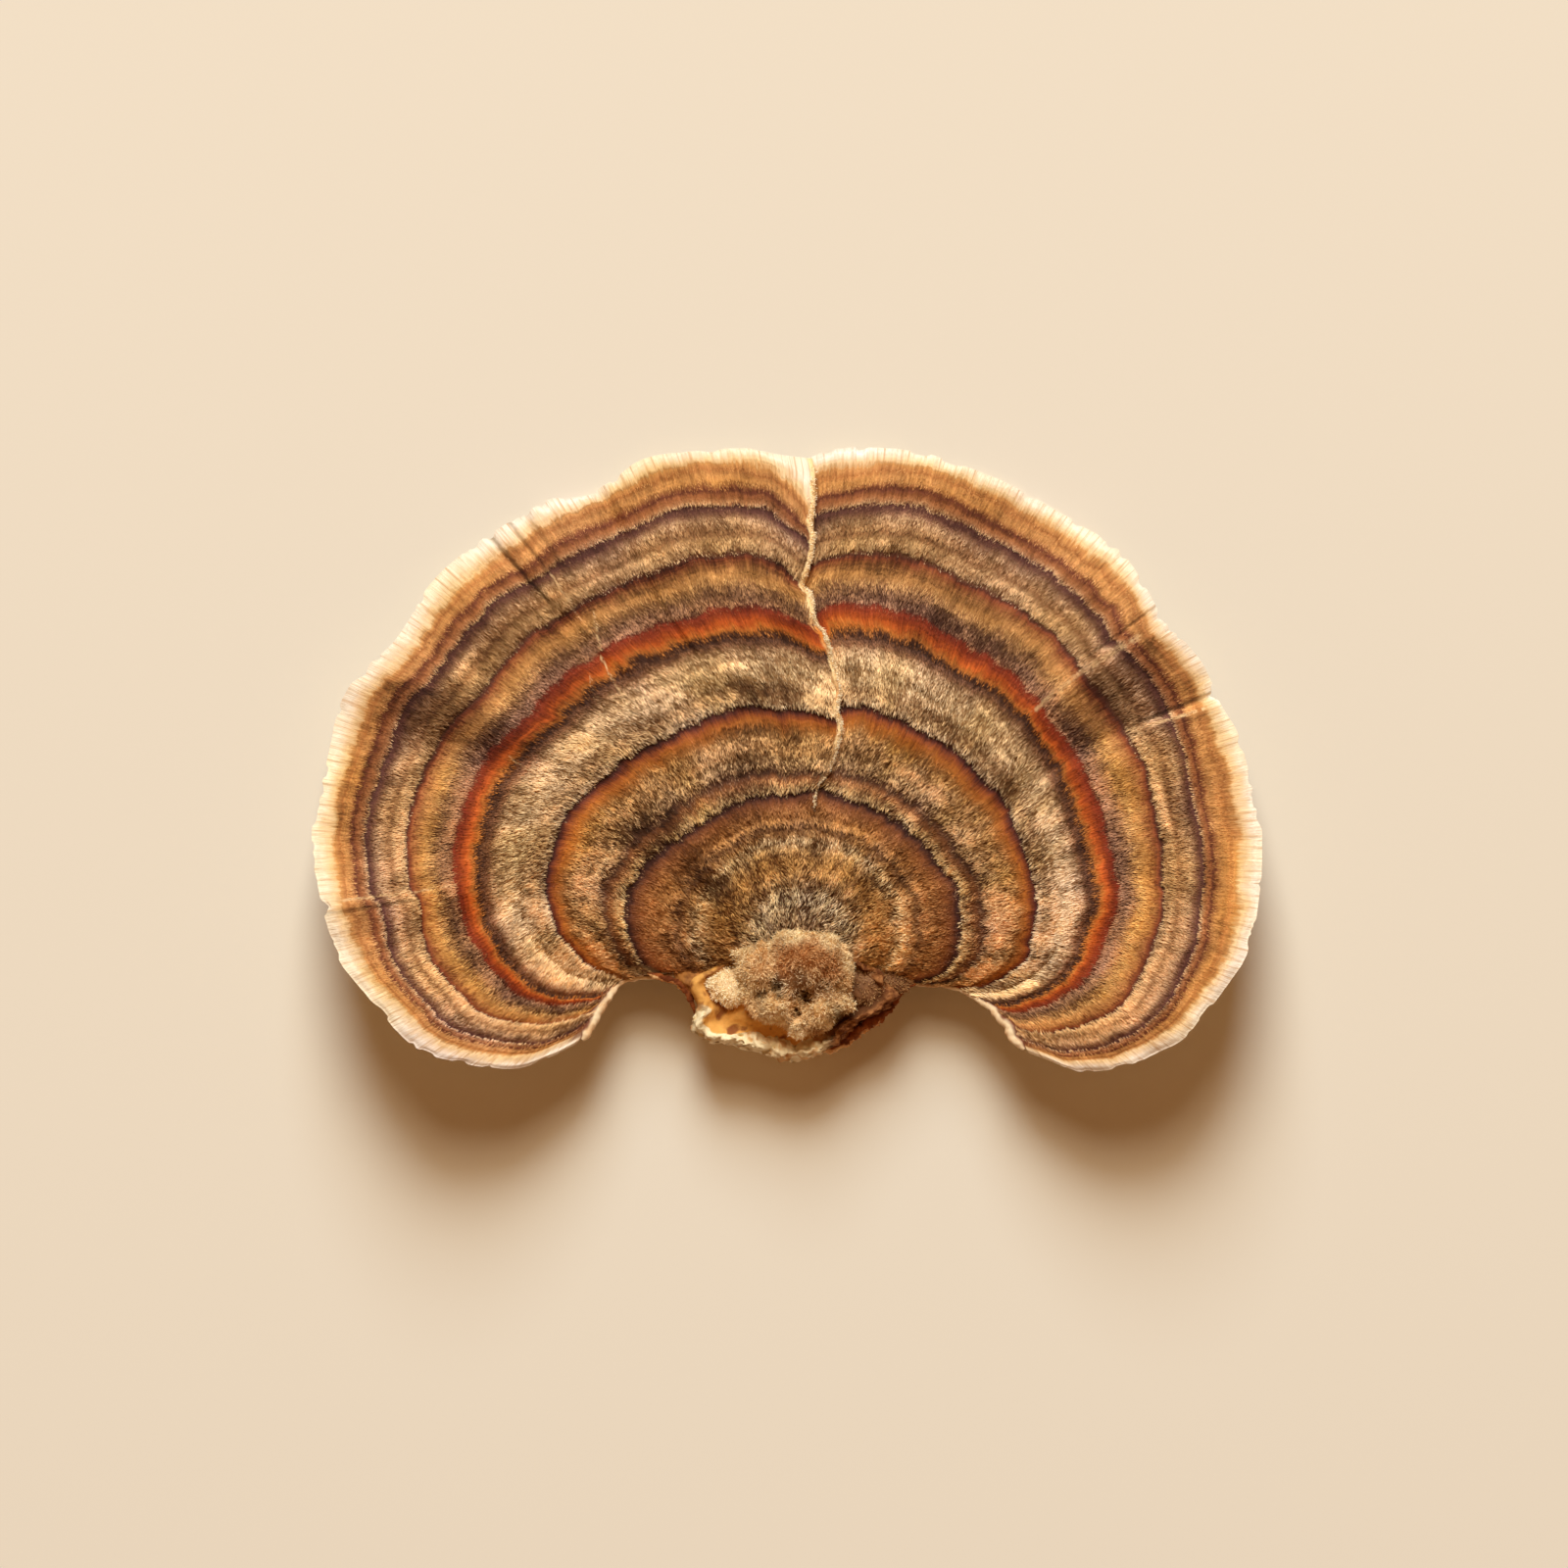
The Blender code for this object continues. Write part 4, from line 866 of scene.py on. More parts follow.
def tint(red, green, blue):
    """A colour as the eye reads it, 0 to 255, for a shader socket."""
    values = [channel / 255.0 for channel in (red, green, blue)]
    linear = [value / 12.92 if value <= 0.04045 else ((value + 0.055) / 1.055) ** 2.4 for value in values]
    return (*linear, 1.0)


def fill_ramp(ramp, stops):
    while len(ramp.elements) < len(stops):
        ramp.elements.new(0.5)
    for element, (position, colour) in zip(ramp.elements, stops):
        element.position = position
        element.color = colour


def new_finish(name):
    """A material, its expression maker and its shader."""
    material = bpy.data.materials.new(name)
    material.use_nodes = True
    shader = material.node_tree.nodes["Principled BSDF"]
    return material, Wire(material.node_tree), shader


print("the expression helper is ready")

# %% [markdown]
# ## The band colours
#
# From the rim inward the bands run cream, ochre, two thin dark lines, grey-brown velvet, a dark
# line, tan silk, grey velvet, bright rust silk, a black line, broad beige velvet, and on to rust,
# grey and brown bands and the mottled old middle. Each row of the table gives a band's place,
# its skin colour, which is also the colour of the hairs' roots, and the colour of the hairs'
# tips. One colour ramp holds 32 stops at most, so the table is shared out over several ramps.

# %% The table of band colours
# Band, skin and root colour, hair tip colour
BAND_COLOURS = [
    (0.02, (120, 78, 46), (190, 144, 98)),
    (0.1, (104, 68, 44), (244, 220, 180)),
    (0.15, (132, 86, 46), (212, 164, 102)),
    (0.175, (142, 92, 46), (200, 150, 86)),
    (0.197, (118, 80, 48), (196, 152, 96)),
    (0.22, (136, 94, 54), (246, 216, 166)),
    (0.235, (150, 98, 52), (214, 162, 104)),
    (0.245, (80, 46, 30), (120, 80, 52)),
    (0.255, (128, 84, 50), (200, 148, 96)),
    (0.27, (146, 96, 54), (192, 138, 84)),
    (0.29, (152, 98, 54), (184, 128, 76)),
    (0.306, (148, 90, 50), (176, 118, 70)),
    (0.318, (116, 66, 40), (152, 96, 60)),
    (0.328, (66, 34, 28), (100, 60, 44)),
    (0.337, (66, 42, 36), (156, 116, 90)),
    (0.345, (104, 68, 44), (244, 214, 164)),
    (0.355, (126, 84, 50), (226, 188, 132)),
    (0.366, (122, 74, 42), (190, 132, 82)),
    (0.376, (80, 50, 36), (124, 86, 62)),
    (0.384, (96, 62, 42), (160, 120, 86)),
    (0.395, (120, 82, 50), (216, 174, 126)),
    (0.412, (138, 96, 56), (236, 194, 140)),
    (0.428, (150, 104, 60), (226, 178, 122)),
    (0.438, (146, 102, 60), (230, 184, 128)),
    (0.452, (160, 108, 58), (226, 176, 116)),
    (0.466, (176, 104, 40), (196, 126, 62)),
    (0.476, (146, 74, 32), (166, 96, 48)),
    (0.485, (88, 38, 28), (110, 60, 40)),
    (0.4915, (56, 30, 28), (100, 64, 50)),
    (0.498, (92, 56, 40), (232, 194, 150)),
    (0.506, (124, 86, 54), (246, 218, 178)),
    (0.52, (146, 102, 62), (240, 202, 150)),
    (0.535, (140, 96, 58), (228, 188, 136)),
    (0.55, (158, 116, 72), (238, 204, 156)),
    (0.565, (176, 134, 86), (244, 214, 168)),
    (0.585, (178, 136, 92), (242, 212, 164)),
    (0.604, (168, 126, 84), (240, 206, 160)),
    (0.613, (138, 98, 64), (214, 176, 134)),
    (0.621, (102, 64, 42), (162, 112, 78)),
    (0.629, (70, 42, 32), (122, 82, 60)),
    (0.636, (64, 36, 24), (116, 70, 42)),
    (0.6405, (176, 106, 44), (188, 120, 56)),
    (0.65, (182, 82, 24), (190, 96, 34)),
    (0.662, (136, 52, 16), (152, 68, 24)),
    (0.674, (126, 42, 17), (150, 66, 28)),
    (0.684, (86, 40, 26), (170, 110, 78)),
    (0.692, (108, 68, 50), (214, 160, 120)),
    (0.71, (112, 74, 54), (198, 148, 110)),
    (0.722, (122, 82, 54), (200, 150, 106)),
    (0.732, (156, 108, 66), (214, 164, 110)),
    (0.745, (196, 142, 84), (230, 182, 120)),
    (0.76, (186, 130, 76), (216, 162, 102)),
    (0.77, (164, 104, 58), (190, 130, 78)),
    (0.779, (132, 64, 34), (154, 88, 52)),
    (0.787, (74, 36, 26), (106, 60, 42)),
    (0.794, (116, 76, 50), (240, 206, 162)),
    (0.806, (164, 118, 76), (232, 192, 142)),
    (0.824, (184, 138, 90), (234, 192, 140)),
    (0.835, (120, 76, 46), (166, 116, 74)),
    (0.844, (160, 112, 72), (208, 162, 114)),
    (0.86, (148, 106, 76), (222, 182, 140)),
    (0.87, (94, 54, 44), (148, 104, 80)),
    (0.8785, (76, 40, 34), (108, 70, 56)),
    (0.884, (86, 46, 38), (170, 124, 92)),
    (0.89, (180, 124, 82), (244, 206, 160)),
    (0.9, (150, 90, 50), (186, 124, 76)),
    (0.911, (92, 40, 24), (118, 64, 40)),
    (0.9165, (128, 72, 40), (172, 112, 68)),
    (0.926, (196, 138, 80), (214, 158, 102)),
    (0.934, (200, 142, 84), (216, 160, 102)),
    (0.9425, (164, 102, 52), (190, 128, 74)),
    (0.948, (188, 130, 76), (206, 150, 94)),
    (0.953, (196, 138, 78), (212, 158, 98)),
    (0.963, (236, 200, 150), (236, 200, 150)),
    (0.974, (242, 212, 176), (242, 212, 176)),
    (0.99, (252, 238, 220), (252, 238, 220)),
]
# A ramp holds 32 stops at most
STOPS_A_RAMP = 30


def band_ramp(wire, band, column):
    """The colour of a band, from the skin's column, 1, or the hair tips' column, 2."""
    colour = None
    for first in range(0, len(BAND_COLOURS) - 1, STOPS_A_RAMP - 1):
        rows = BAND_COLOURS[first:first + STOPS_A_RAMP]
        part = wire.ramp(band, [(row[0], tint(*row[column])) for row in rows])
        past = band.math("GREATER_THAN", band, rows[0][0])
        colour = part if colour is None else wire.mix(past, colour, part)
    return colour


print(len(BAND_COLOURS), "rows of band colours")

# %% [markdown]
# ## The skin's finish
#
# Between the velvety bands the skin is silk: fine fibres that run outward and shine a little.
# So the streaks are noise that is fine around the cap and long across it. Painted shade darkens
# the sharp creases and painted highlight lightens their crests, and two thin cracks and some pale
# scratches cross the bands in the left lobe. The free edge at the seam is cream, with a painted
# amber glow of light through it where it is thin. Below, the pore surface is pale with tiny round pores.

# %% Streaks, stains and scratches
# Noises: how fine around the cap and outward, a layer of its own, detail and roughness
PATTERNS = {
    "fine, far out": (820.0, 24.0, 0.0, 2.0, 0.65),
    "fine, near the knob": (330.0, 30.0, 5.0, 2.0, 0.65),
    "broad": (230.0, 9.0, 3.0, 2.0, 0.6),
    "rings": (16.0, 170.0, 9.0, 3.0, 0.65),
    "jagged": (700.0, 30.0, 0.0, 2.0, 0.6),
    "wavy": (90.0, 30.0, 4.0, 1.0, 0.5),
    "margin": (520.0, 5.0, 7.0, 2.0, 0.7),
    "fibres": (900.0, 24.0, 0.0, 2.0, 0.65),
}
PORE_SCALE = 4200.0
# Dark lines, three of real cracks and then three of painted shade along the sharp creases: around,
# half width, band where the dark line starts, and how dark
CRACKS_AND_CREASE_SHADE = [
    (0.347, 0.0024, 0.8, 0.8), (0.3575, 0.002, 0.86, 0.6), (0.366, 0.003, 0.84, 0.4),
    (0.1495, 0.0022, 0.78, 0.5), (0.6915, 0.0014, 0.8, 0.6), (0.7415, 0.0022, 0.8, 0.7)]
# Pale scratches, and pale lines of painted highlight on the crests of the sharp creases (the fourth,
# fifth and sixth entries): around and growth at both ends, half width, strength
SCRATCHES_AND_RIDGE_HIGHLIGHTS = [
    (0.331, 0.59, 0.345, 0.66, 0.0011, 0.9), (0.346, 0.672, 0.362, 0.75, 0.0011, 0.9),
    (0.3545, 0.76, 0.3575, 0.86, 0.001, 0.6), (0.7455, 0.83, 0.7475, 0.96, 0.0014, 0.9),
    (0.695, 0.665, 0.699, 0.93, 0.0028, 0.6), (0.154, 0.68, 0.1545, 0.945, 0.0012, 0.8),
    (0.318, 0.62, 0.33, 0.655, 0.0008, 0.5), (0.24, 0.6, 0.25, 0.655, 0.001, 0.5)]


def pattern(name, around_number, outward):
    across, along, layer, detail, roughness = PATTERNS[name]
    return around_number.streaks(around_number * across, outward * along, layer, detail, roughness)


def crooked(wire, around_number, outward, layer):
    """The number around, shifted a little, so that straight lines run crooked."""
    return around_number + (wire.streaks(outward, layer, detail=3.0) - 0.5) * 0.004


def paint_tone(wire, band, around_number, light, streaks=1.4):
    """Lighter and darker over the cap, from streaks, from the light number with its painted shade and
    highlight, and from the cracks and the painted shade of the sharp creases: 1 leaves a colour as it is.
    """
    outside = band.above(0.3, 0.6)
    fine = (pattern("fine, far out", around_number, band) * outside
            + pattern("fine, near the knob", around_number, band) * (1.0 - outside))
    broad = pattern("broad", around_number, band)
    rings = pattern("rings", around_number, band)
    tone = 1.0 + (fine - 0.5) * streaks + (broad - 0.5) + (rings - 0.5) * 1.5 + light
    margin = band.above(0.945, 0.975)
    tone = tone + (1.0 - tone) * margin * 0.7
    line = crooked(wire, around_number, band * 40.0, 2.0)
    # Darkens the cracks, and paints shade along the sharp creases
    for place, half_width, start, depth in CRACKS_AND_CREASE_SHADE:
        stain = line.near(place, half_width) * band.above(start, start + 0.05)
        tone = tone * (1.0 - stain * depth * (1.0 - margin * 0.3))
    return tone.math("MAXIMUM", tone, 0.25)


def warm_and_dark(wire, colour, tone, golden):
    """Multiplies a colour by its tone. Dark places turn warmer, and golden ones yellower."""
    green = tone.power(1.1) * (1.0 - golden * 0.06)
    return wire.shade(colour, tone, green, tone.power(1.25) * (1.0 - golden * 0.45))


def paint_scratches_and_ridge_highlights(wire, growth, around_number):
    total = 0.0
    dashes = wire.streaks(growth * 90.0, around_number * 60.0).above(0.36, 0.52)
    across = crooked(wire, around_number, growth * 30.0, 6.0)
    # Pale scratches, and painted highlight along the crests of the sharp creases
    for low_around, low_growth, high_around, high_growth, half_width, strength in SCRATCHES_AND_RIDGE_HIGHLIGHTS:
        slope = (high_around - low_around) / (high_growth - low_growth)
        line = (across - (growth - low_growth) * slope).near(low_around, half_width)
        reach = growth.plateau(low_growth - 0.01, low_growth, high_growth, high_growth + 0.01)
        total = total + line * dashes * strength * reach
    return total


print(len(CRACKS_AND_CREASE_SHADE), "stains and", len(SCRATCHES_AND_RIDGE_HIGHLIGHTS), "scratches")

# %% Make the skin's material


def paint_seam_edge(wire, colour, around_number, growth):
    """The left lobe's free edge at the seam: cream, with a painted amber glow of light through the thin
    edge in two places.
    """
    gap = wire.number("seam_gap")
    broken = wire.streaks(growth * 60.0, around_number * 60.0)
    is_left = 1.0 - around_number.above(0.5, 0.5002)
    woolly = growth.near(0.665, 0.08) * 0.25 + (broken - 0.5) * 0.5
    edge = (1.0 - (gap - woolly).above(0.2, 0.42)) * is_left * growth.above(0.3, 0.45)
    tone = 0.86 + broken * 0.3
    # Painted amber glow of light through the thin, clear edge
    glow_through = growth.near(0.635, 0.05) + growth.near(0.52, 0.03) * 0.6
    cream = wire.shade(tint(254, 222, 168), tone, tone, tone)
    cream = wire.mix(glow_through * gap.above(0.08, 0.2), cream, tint(222, 134, 52))
    return wire.mix(edge * 0.95, colour, cream)


def paint_inner_edges(wire, colour, around_number, growth):
    """The lobes' inner edges: a dark line of painted shade, and a cream roll where the left one curls up.
    """
    ends = around_number.above(0.991, 0.995) + (1.0 - around_number.above(0.005, 0.009))
    # Painted shade along the inner edges, where they overhang the lip
    edge_shadow_line = ends * growth.plateau(0.5, 0.6, 0.93, 0.96)
    colour = wire.mix(edge_shadow_line * 0.75, colour, tint(118, 62, 38))
    curled = (1.0 - around_number.above(0.01, 0.024)) * growth.near(0.4, 0.1)
    return wire.mix(curled * 0.85, colour, tint(240, 214, 170))


def make_skin_finish():
    material, wire, shader = new_finish("banded skin")
    band, around_number, growth, light, golden = wire.numbers("band", "around", "growth", "light", "golden")
    jagged = pattern("jagged", around_number, growth) - 0.5
    wavy = pattern("wavy", around_number, growth) - 0.5
    ragged_band = band + (jagged * 0.013 + wavy * 0.01) * (1.0 + band.above(0.93, 0.96))
    tone = paint_tone(wire, ragged_band, around_number, light)
    colour = warm_and_dark(wire, band_ramp(wire, ragged_band, 1), tone, golden)
    brown_streaks = pattern("margin", around_number, growth).above(0.5, 0.66) * band.above(0.945, 0.97)
    colour = wire.mix(brown_streaks * 0.6, colour, tint(200, 152, 100))
    # Pale scratches and painted highlight on the creases' crests
    colour = wire.mix(paint_scratches_and_ridge_highlights(wire, growth, around_number), colour, tint(236, 200, 150))
    colour = paint_seam_edge(wire, colour, around_number, growth)
    colour = paint_inner_edges(wire, colour, around_number, growth)
    place = wire.node("ShaderNodeTexCoord", output="Object")
    pores = wire.node("ShaderNodeTexVoronoi", None, {"Vector": place, "Scale": PORE_SCALE})
    pore_colour = wire.mix(pores.above(0.16, 0.34), tint(150, 112, 74), tint(232, 208, 168))
    pore_colour = wire.mix(wire.cloud(160.0).above(0.45, 0.75) * 0.5, pore_colour, tint(196, 152, 102))
    under = wire.number("under").above(0.3, 0.7)
    fibres = pattern("fibres", around_number, growth)
    wire.feed(shader, {
        "Base Color": wire.mix(under, colour, pore_colour),
        "Roughness": 0.78 - (tone - 0.8) * 0.2,
        "Specular IOR Level": 0.22,
        "Normal": wire.bump(fibres * (1.0 - under) + pores.above(0.1, 0.4) * under, 0.6),
    })
    return material


skin_finish = make_skin_finish()
for lobe in lobes.values():
    lobe.data.materials.append(skin_finish)
print("skin nodes:", len(skin_finish.node_tree.nodes))

# %% [markdown]
# ## Velvet
#
# The velvety bands are dense short hairs that lean towards the base, so each band's inner edge
# ends in a fringe of pale tips over the next dark line. Particle hair would not survive an
# export, so each hair is a small kite of two triangles: a root, two points at its widest and a
# tip that bends back down. The table gives, along the bands, how dense the hair is, how long and
# how steeply it stands. Roots are scattered by area, thicker where the table says so.

# %% How the hair covers the bands
# Band, hairs per square millimetre, length in mm, lean above the skin in degrees
HAIR_COVER = [
    (0.0, 200, 0.5, 34), (0.1, 300, 0.52, 32), (0.16, 280, 0.5, 28), (0.268, 280, 0.46, 24),
    (0.283, 220, 0.42, 18), (0.31, 170, 0.34, 14), (0.325, 60, 0.25, 10), (0.343, 50, 0.24, 12),
    (0.349, 340, 0.44, 24), (0.362, 240, 0.4, 22), (0.373, 60, 0.3, 14), (0.388, 140, 0.34, 16),
    (0.394, 340, 0.46, 30), (0.452, 320, 0.46, 24), (0.462, 80, 0.36, 10), (0.48, 40, 0.26, 8),
    (0.5, 40, 0.24, 10), (0.507, 360, 0.5, 22), (0.545, 320, 0.5, 18), (0.58, 300, 0.5, 16),
    (0.61, 280, 0.48, 18), (0.628, 280, 0.38, 20), (0.64, 90, 0.28, 14), (0.65, 40, 0.3, 8),
    (0.682, 60, 0.3, 9), (0.692, 340, 0.4, 22), (0.722, 300, 0.44, 20), (0.742, 130, 0.42, 10),
    (0.775, 90, 0.36, 9), (0.79, 40, 0.24, 9), (0.8, 60, 0.26, 10), (0.8055, 340, 0.5, 18),
    (0.855, 300, 0.48, 17), (0.872, 160, 0.34, 16), (0.884, 60, 0.24, 10), (0.893, 320, 0.32, 15),
    (0.901, 110, 0.28, 9), (0.915, 70, 0.26, 9), (0.925, 120, 0.32, 9), (0.945, 90, 0.28, 8),
    (0.957, 0, 0.2, 8), (1.0, 0, 0.2, 8)]
HAIR_COUNT = 245000
HAIR_PIECES = 3
# Bare skin along the seam: from where hairs begin to where they are full, in mm
SEAM_LIP = {"left": (0.28, 0.6), "right": (0.0, 0.1)}
HAIR_WIDTH = 0.054
HAIR_WIDEST = 0.6
# Noise that turns neighbouring hairs the same way: radians, length in mm, seed, octaves
HAIR_CLUMPS = [(0.4, 0.5, 61, 1), (0.25, 1.4, 62, 1)]


def read_between(values, row, station):
    """The grid's values at fractional rows and stations."""
    low_row = np.minimum(row.astype(int), values.shape[0] - 2)
    low_station = np.minimum(station.astype(int), values.shape[1] - 2)
    up = row - low_row
    across = station - low_station
    if values.ndim == 3:
        up = up[:, None]
        across = across[:, None]
    near_row, far_row = (values[line, low_station] * (1.0 - across) + values[line, low_station + 1] * across
                         for line in (low_row, low_row + 1))
    return near_row * (1.0 - up) + far_row * up


def cell_middles(values):
    return 0.25 * (values[:-1, :-1] + values[1:, :-1] + values[:-1, 1:] + values[1:, 1:])


def unit(vectors):
    return vectors / (np.linalg.norm(vectors, axis=-1, keepdims=True) + 1e-12)


def cover_at(band, column):
    """How dense, how long or how steep the hair is on a band: the table's columns 1, 2 and 3."""
    return np.interp(band, [row[0] for row in HAIR_COVER], [row[column] for row in HAIR_COVER])


def hair_weights(name):
    """How many hairs each cell of the lobe's skin would carry."""
    skin = skins[name]
    sides = np.cross(skin[1:, :-1] - skin[:-1, :-1], skin[:-1, 1:] - skin[:-1, :-1])
    area = np.linalg.norm(sides, axis=2)
    cover = cover_at(cell_middles(bands[name]), 1) * (1.0 + 0.6 * cell_middles(lights[name]))
    bare_edge = 1.0 - smoothstep(*SEAM_LIP[name], cell_middles(seam_gaps[name]))
    return area * cover * (1.0 - bare_edge * smoothstep(0.28, 0.45, ROWS[:-1])[:, None])


print(HAIR_COUNT, "hairs in", HAIR_PIECES, "pieces")

# %% A hair as a kite
# The corners of a hair in its cell of the bake map
HAIR_CORNERS = [[0.5, 0.1], [0.25, 0.5], [0.75, 0.5], [0.5, 0.9]]


def bent_hairs(roots, first_way, second_way, side_way, lengths, widths):
    """Points of kite-shaped hairs: root, two middle points and tip of each."""
    middle = roots + first_way * (HAIR_WIDEST * lengths)[:, None]
    tip = middle + second_way * ((1.0 - HAIR_WIDEST) * lengths)[:, None]
    half = side_way * (0.5 * widths)[:, None]
    return np.stack([roots, middle - half, middle + half, tip], axis=1).reshape(-1, 3)


def make_hair_piece(name, points, numbers):
    """A piece of kites, each hair with numbers of its own and 0 to 1 along it."""
    count = len(points) // 4
    first = 4 * np.arange(count)[:, None]
    triangles = np.concatenate([first + np.array([0, 1, 2]), first + np.array([1, 3, 2])], axis=1)
    triangles = triangles.reshape(-1, 3)
    spread = {label: np.repeat(values, 4) for label, values in numbers.items()}
    spread["along"] = np.tile([0.0, 0.5, 0.5, 1.0], count)
    point_map = cell_map(count, HAIR_CORNERS)
    return make_piece(name, points, [], triangles, spread, point_map[triangles.ravel()], smooth=False)


def turned(first, second, angle):
    """The first direction, turned to the second one by the angle."""
    return first * np.cos(angle)[:, None] + second * np.sin(angle)[:, None]


print("a hair is widest", HAIR_WIDEST, "of its length from the root")

# %% Tufts and single hairs
# Growth levels of the tufts, and how much longer than wide they are there
TUFT_LEVELS = [(0.2, 1.6), (0.42, 1.5), (0.64, 1.9), (0.86, 2.4)]
TUFT_WIDTH = 0.115
LOBE_LENGTH = 33.0


def tuft_shades(spots, growth, seed):
    """A smooth random value for each hair that is nearly the same for its neighbours in a tuft."""
    total = 0.0
    for level, stretch in TUFT_LEVELS:
        first = level == TUFT_LEVELS[0][0]
        last = level == TUFT_LEVELS[-1][0]
        past = growth > level
        weight = 1.0 - np.clip(np.abs(growth - level) / 0.22, 0.0, 1.0)
        weight = np.where((first & ~past) | (last & past), 1.0, weight)
        across = spots * RIM_LENGTH * level / TUFT_WIDTH
        outward = growth * LOBE_LENGTH / (TUFT_WIDTH * stretch)
        place = np.stack([across, outward, np.zeros(len(spots))], axis=1)
        total = total + weight * soft_noise(place, 1.0, seed)
    return total


def grow_velvet(name, count, random):
    """Hairs on one lobe, as points and their numbers."""
    skin = skins[name]
    weights = hair_weights(name)
    total = np.cumsum(weights.ravel())
    picked = np.searchsorted(total, random.random(count) * total[-1])
    row = picked // weights.shape[1] + random.random(count)
    station = picked % weights.shape[1] + random.random(count)
    inward_grid = -unit(np.gradient(skin, axis=0))
    around_grid = unit(np.gradient(skin, axis=1))
    roots = read_between(skin, row, station)
    inward = unit(read_between(inward_grid, row, station))
    sideways = unit(read_between(around_grid, row, station))
    upward = unit(np.cross(inward, sideways))
    upward *= np.sign(upward[:, 2:3])
    sideways = unit(np.cross(inward, upward))
    band = read_between(bands[name], row, station)
    lengths = cover_at(band, 2) * (0.65 + 0.7 * random.random(count))
    angle = np.radians(cover_at(band, 3)) * (0.55 + 0.9 * random.random(count))
    clump = layered_noise(roots, HAIR_CLUMPS)
    growth = np.interp(row, np.arange(len(ROWS)), ROWS)
    turn = (clump + 0.17 * random.standard_normal(count)) * (1.6 - 1.0 * smoothstep(0.2, 0.6, growth))
    heading = turned(inward, sideways, turn)
    first_way = turned(heading, upward, 1.35 * angle)
    second_way = turned(heading, upward, 0.35 * angle)
    across = unit(np.cross(heading, upward) + 0.35 * upward * random.standard_normal(count)[:, None])
    widths = HAIR_WIDTH * (0.7 + 0.6 * random.random(count))
    points = bent_hairs(roots - 0.02 * upward, first_way, second_way, across, lengths, widths)
    spots = np.interp(station, np.arange(len(around[name])), around[name])
    shades = 0.54 + 0.62 * tuft_shades(spots, growth, 65) + 0.2 * random.standard_normal(count)
    numbers = {
        "band": band,
        "around": spots,
        "growth": growth,
        "light": read_between(lights[name], row, station),
        "golden": read_between(goldens[name], row, station),
        "chance": np.clip(shades, 0.0, 1.0),
    }
    return points, numbers


def scatter_velvet():
    """All the velvet, shared out over a few pieces that each run over the whole cap."""
    random = np.random.default_rng(7)
    shares = {name: hair_weights(name).sum() for name in LOBES}
    counts = {name: int(HAIR_COUNT * shares[name] / sum(shares.values())) for name in LOBES}
    grown = [grow_velvet(name, counts[name], random) for name in LOBES]
    points = np.concatenate([points.reshape(-1, 4, 3) for points, _ in grown])
    numbers = {label: np.concatenate([part[label] for _, part in grown]) for label in grown[0][1]}
    share_out = np.arange(len(points)) % HAIR_PIECES
    pieces = []
    for index in range(HAIR_PIECES):
        chosen = share_out == index
        part = {label: values[chosen] for label, values in numbers.items()}
        pieces.append(make_hair_piece(f"velvet_{index + 1}", points[chosen].reshape(-1, 3), part))
    return pieces


velvet = scatter_velvet()

# %% [markdown]
# ## The hairs' finish
#
# A hair has its band's dark colour at the root and its pale colour at the tip, and no two hairs
# are alike: some stay dark to the end. That spread is what gives the velvet its salt-and-pepper
# look. The same cracks and scratches, and the same painted shade in the creases and painted
# highlight on their crests, mark it as they mark the skin.

# %% Make the velvet's material


def make_velvet_finish():
    material, wire, shader = new_finish("banded velvet")
    band, around_number, growth, light, golden = wire.numbers("band", "around", "growth", "light", "golden")
    chance, along = wire.numbers("chance", "along")
    shifted = band + (chance - 0.5) * 0.006
    spread = 0.5 + (chance - 0.5) * (1.0 - band.above(0.64, 0.7) * 0.4)
    paleness = along * (spread * 1.6 + 0.05 + light * 1.3) + light.above(0.04, 0.34) * 0.5
    colour = wire.mix(paleness.above(0.1, 0.9), band_ramp(wire, shifted, 1), band_ramp(wire, shifted, 2))
    near_knob = 1.0 - band.above(0.25, 0.35)
    hair_tone = (0.82 - near_knob * 0.12) + spread * (0.36 + near_knob * 0.24)
    tone = paint_tone(wire, band, around_number, light * 0.8, 0.5) * hair_tone
    colour = warm_and_dark(wire, colour, tone, golden)
    # Pale scratches and painted highlight on the creases' crests, on the hairs too
    colour = wire.mix(paint_scratches_and_ridge_highlights(wire, growth, around_number), colour, tint(240, 206, 156))
    wire.feed(shader, {"Base Color": colour, "Roughness": 0.75, "Specular IOR Level": 0.25})
    return material


velvet_finish = make_velvet_finish()
for piece in velvet:
    piece.data.materials.append(velvet_finish)
print("velvet nodes:", len(velvet_finish.node_tree.nodes))

# %% [markdown]
# ## The knob
#
# Where the bracket began to grow, a lump of matted wool sits on the base of the cap. Its body is
# a ball of fine triangles pushed in and out: broad lumps first, as on the solid, then small ones.
# Wool needs hairs that stand up and cross each other, so they start off along the surface's
# normal, turned by noise, and each bends over to another side. The same wool grows on small
# lumps beside the knob and along the left lobe's edge at the seam.

# %% Shape the knob
KNOB_MIDDLE = np.array([0.0, -2.5, 5.1])
KNOB_DEPTH = 2.6
KNOB_WOOL_ROOM = 0.22
# Seen from above: direction in degrees from +X, reach in mm
KNOB_OUTLINE = [
    (-190, 3.55), (-170, 3.55), (-148, 3.4), (-131, 3.33), (-110, 2.9), (-97, 3.0), (-87, 3.6),
    (-75, 3.52), (-51, 3.7), (-35, 3.66), (-24, 4.16), (-17, 3.67), (0, 3.75), (25, 4.07), (51, 4.1),
    (73, 3.45), (113, 3.5), (123, 3.1), (146, 3.85), (153, 4.45), (164, 3.8), (190, 3.55)]
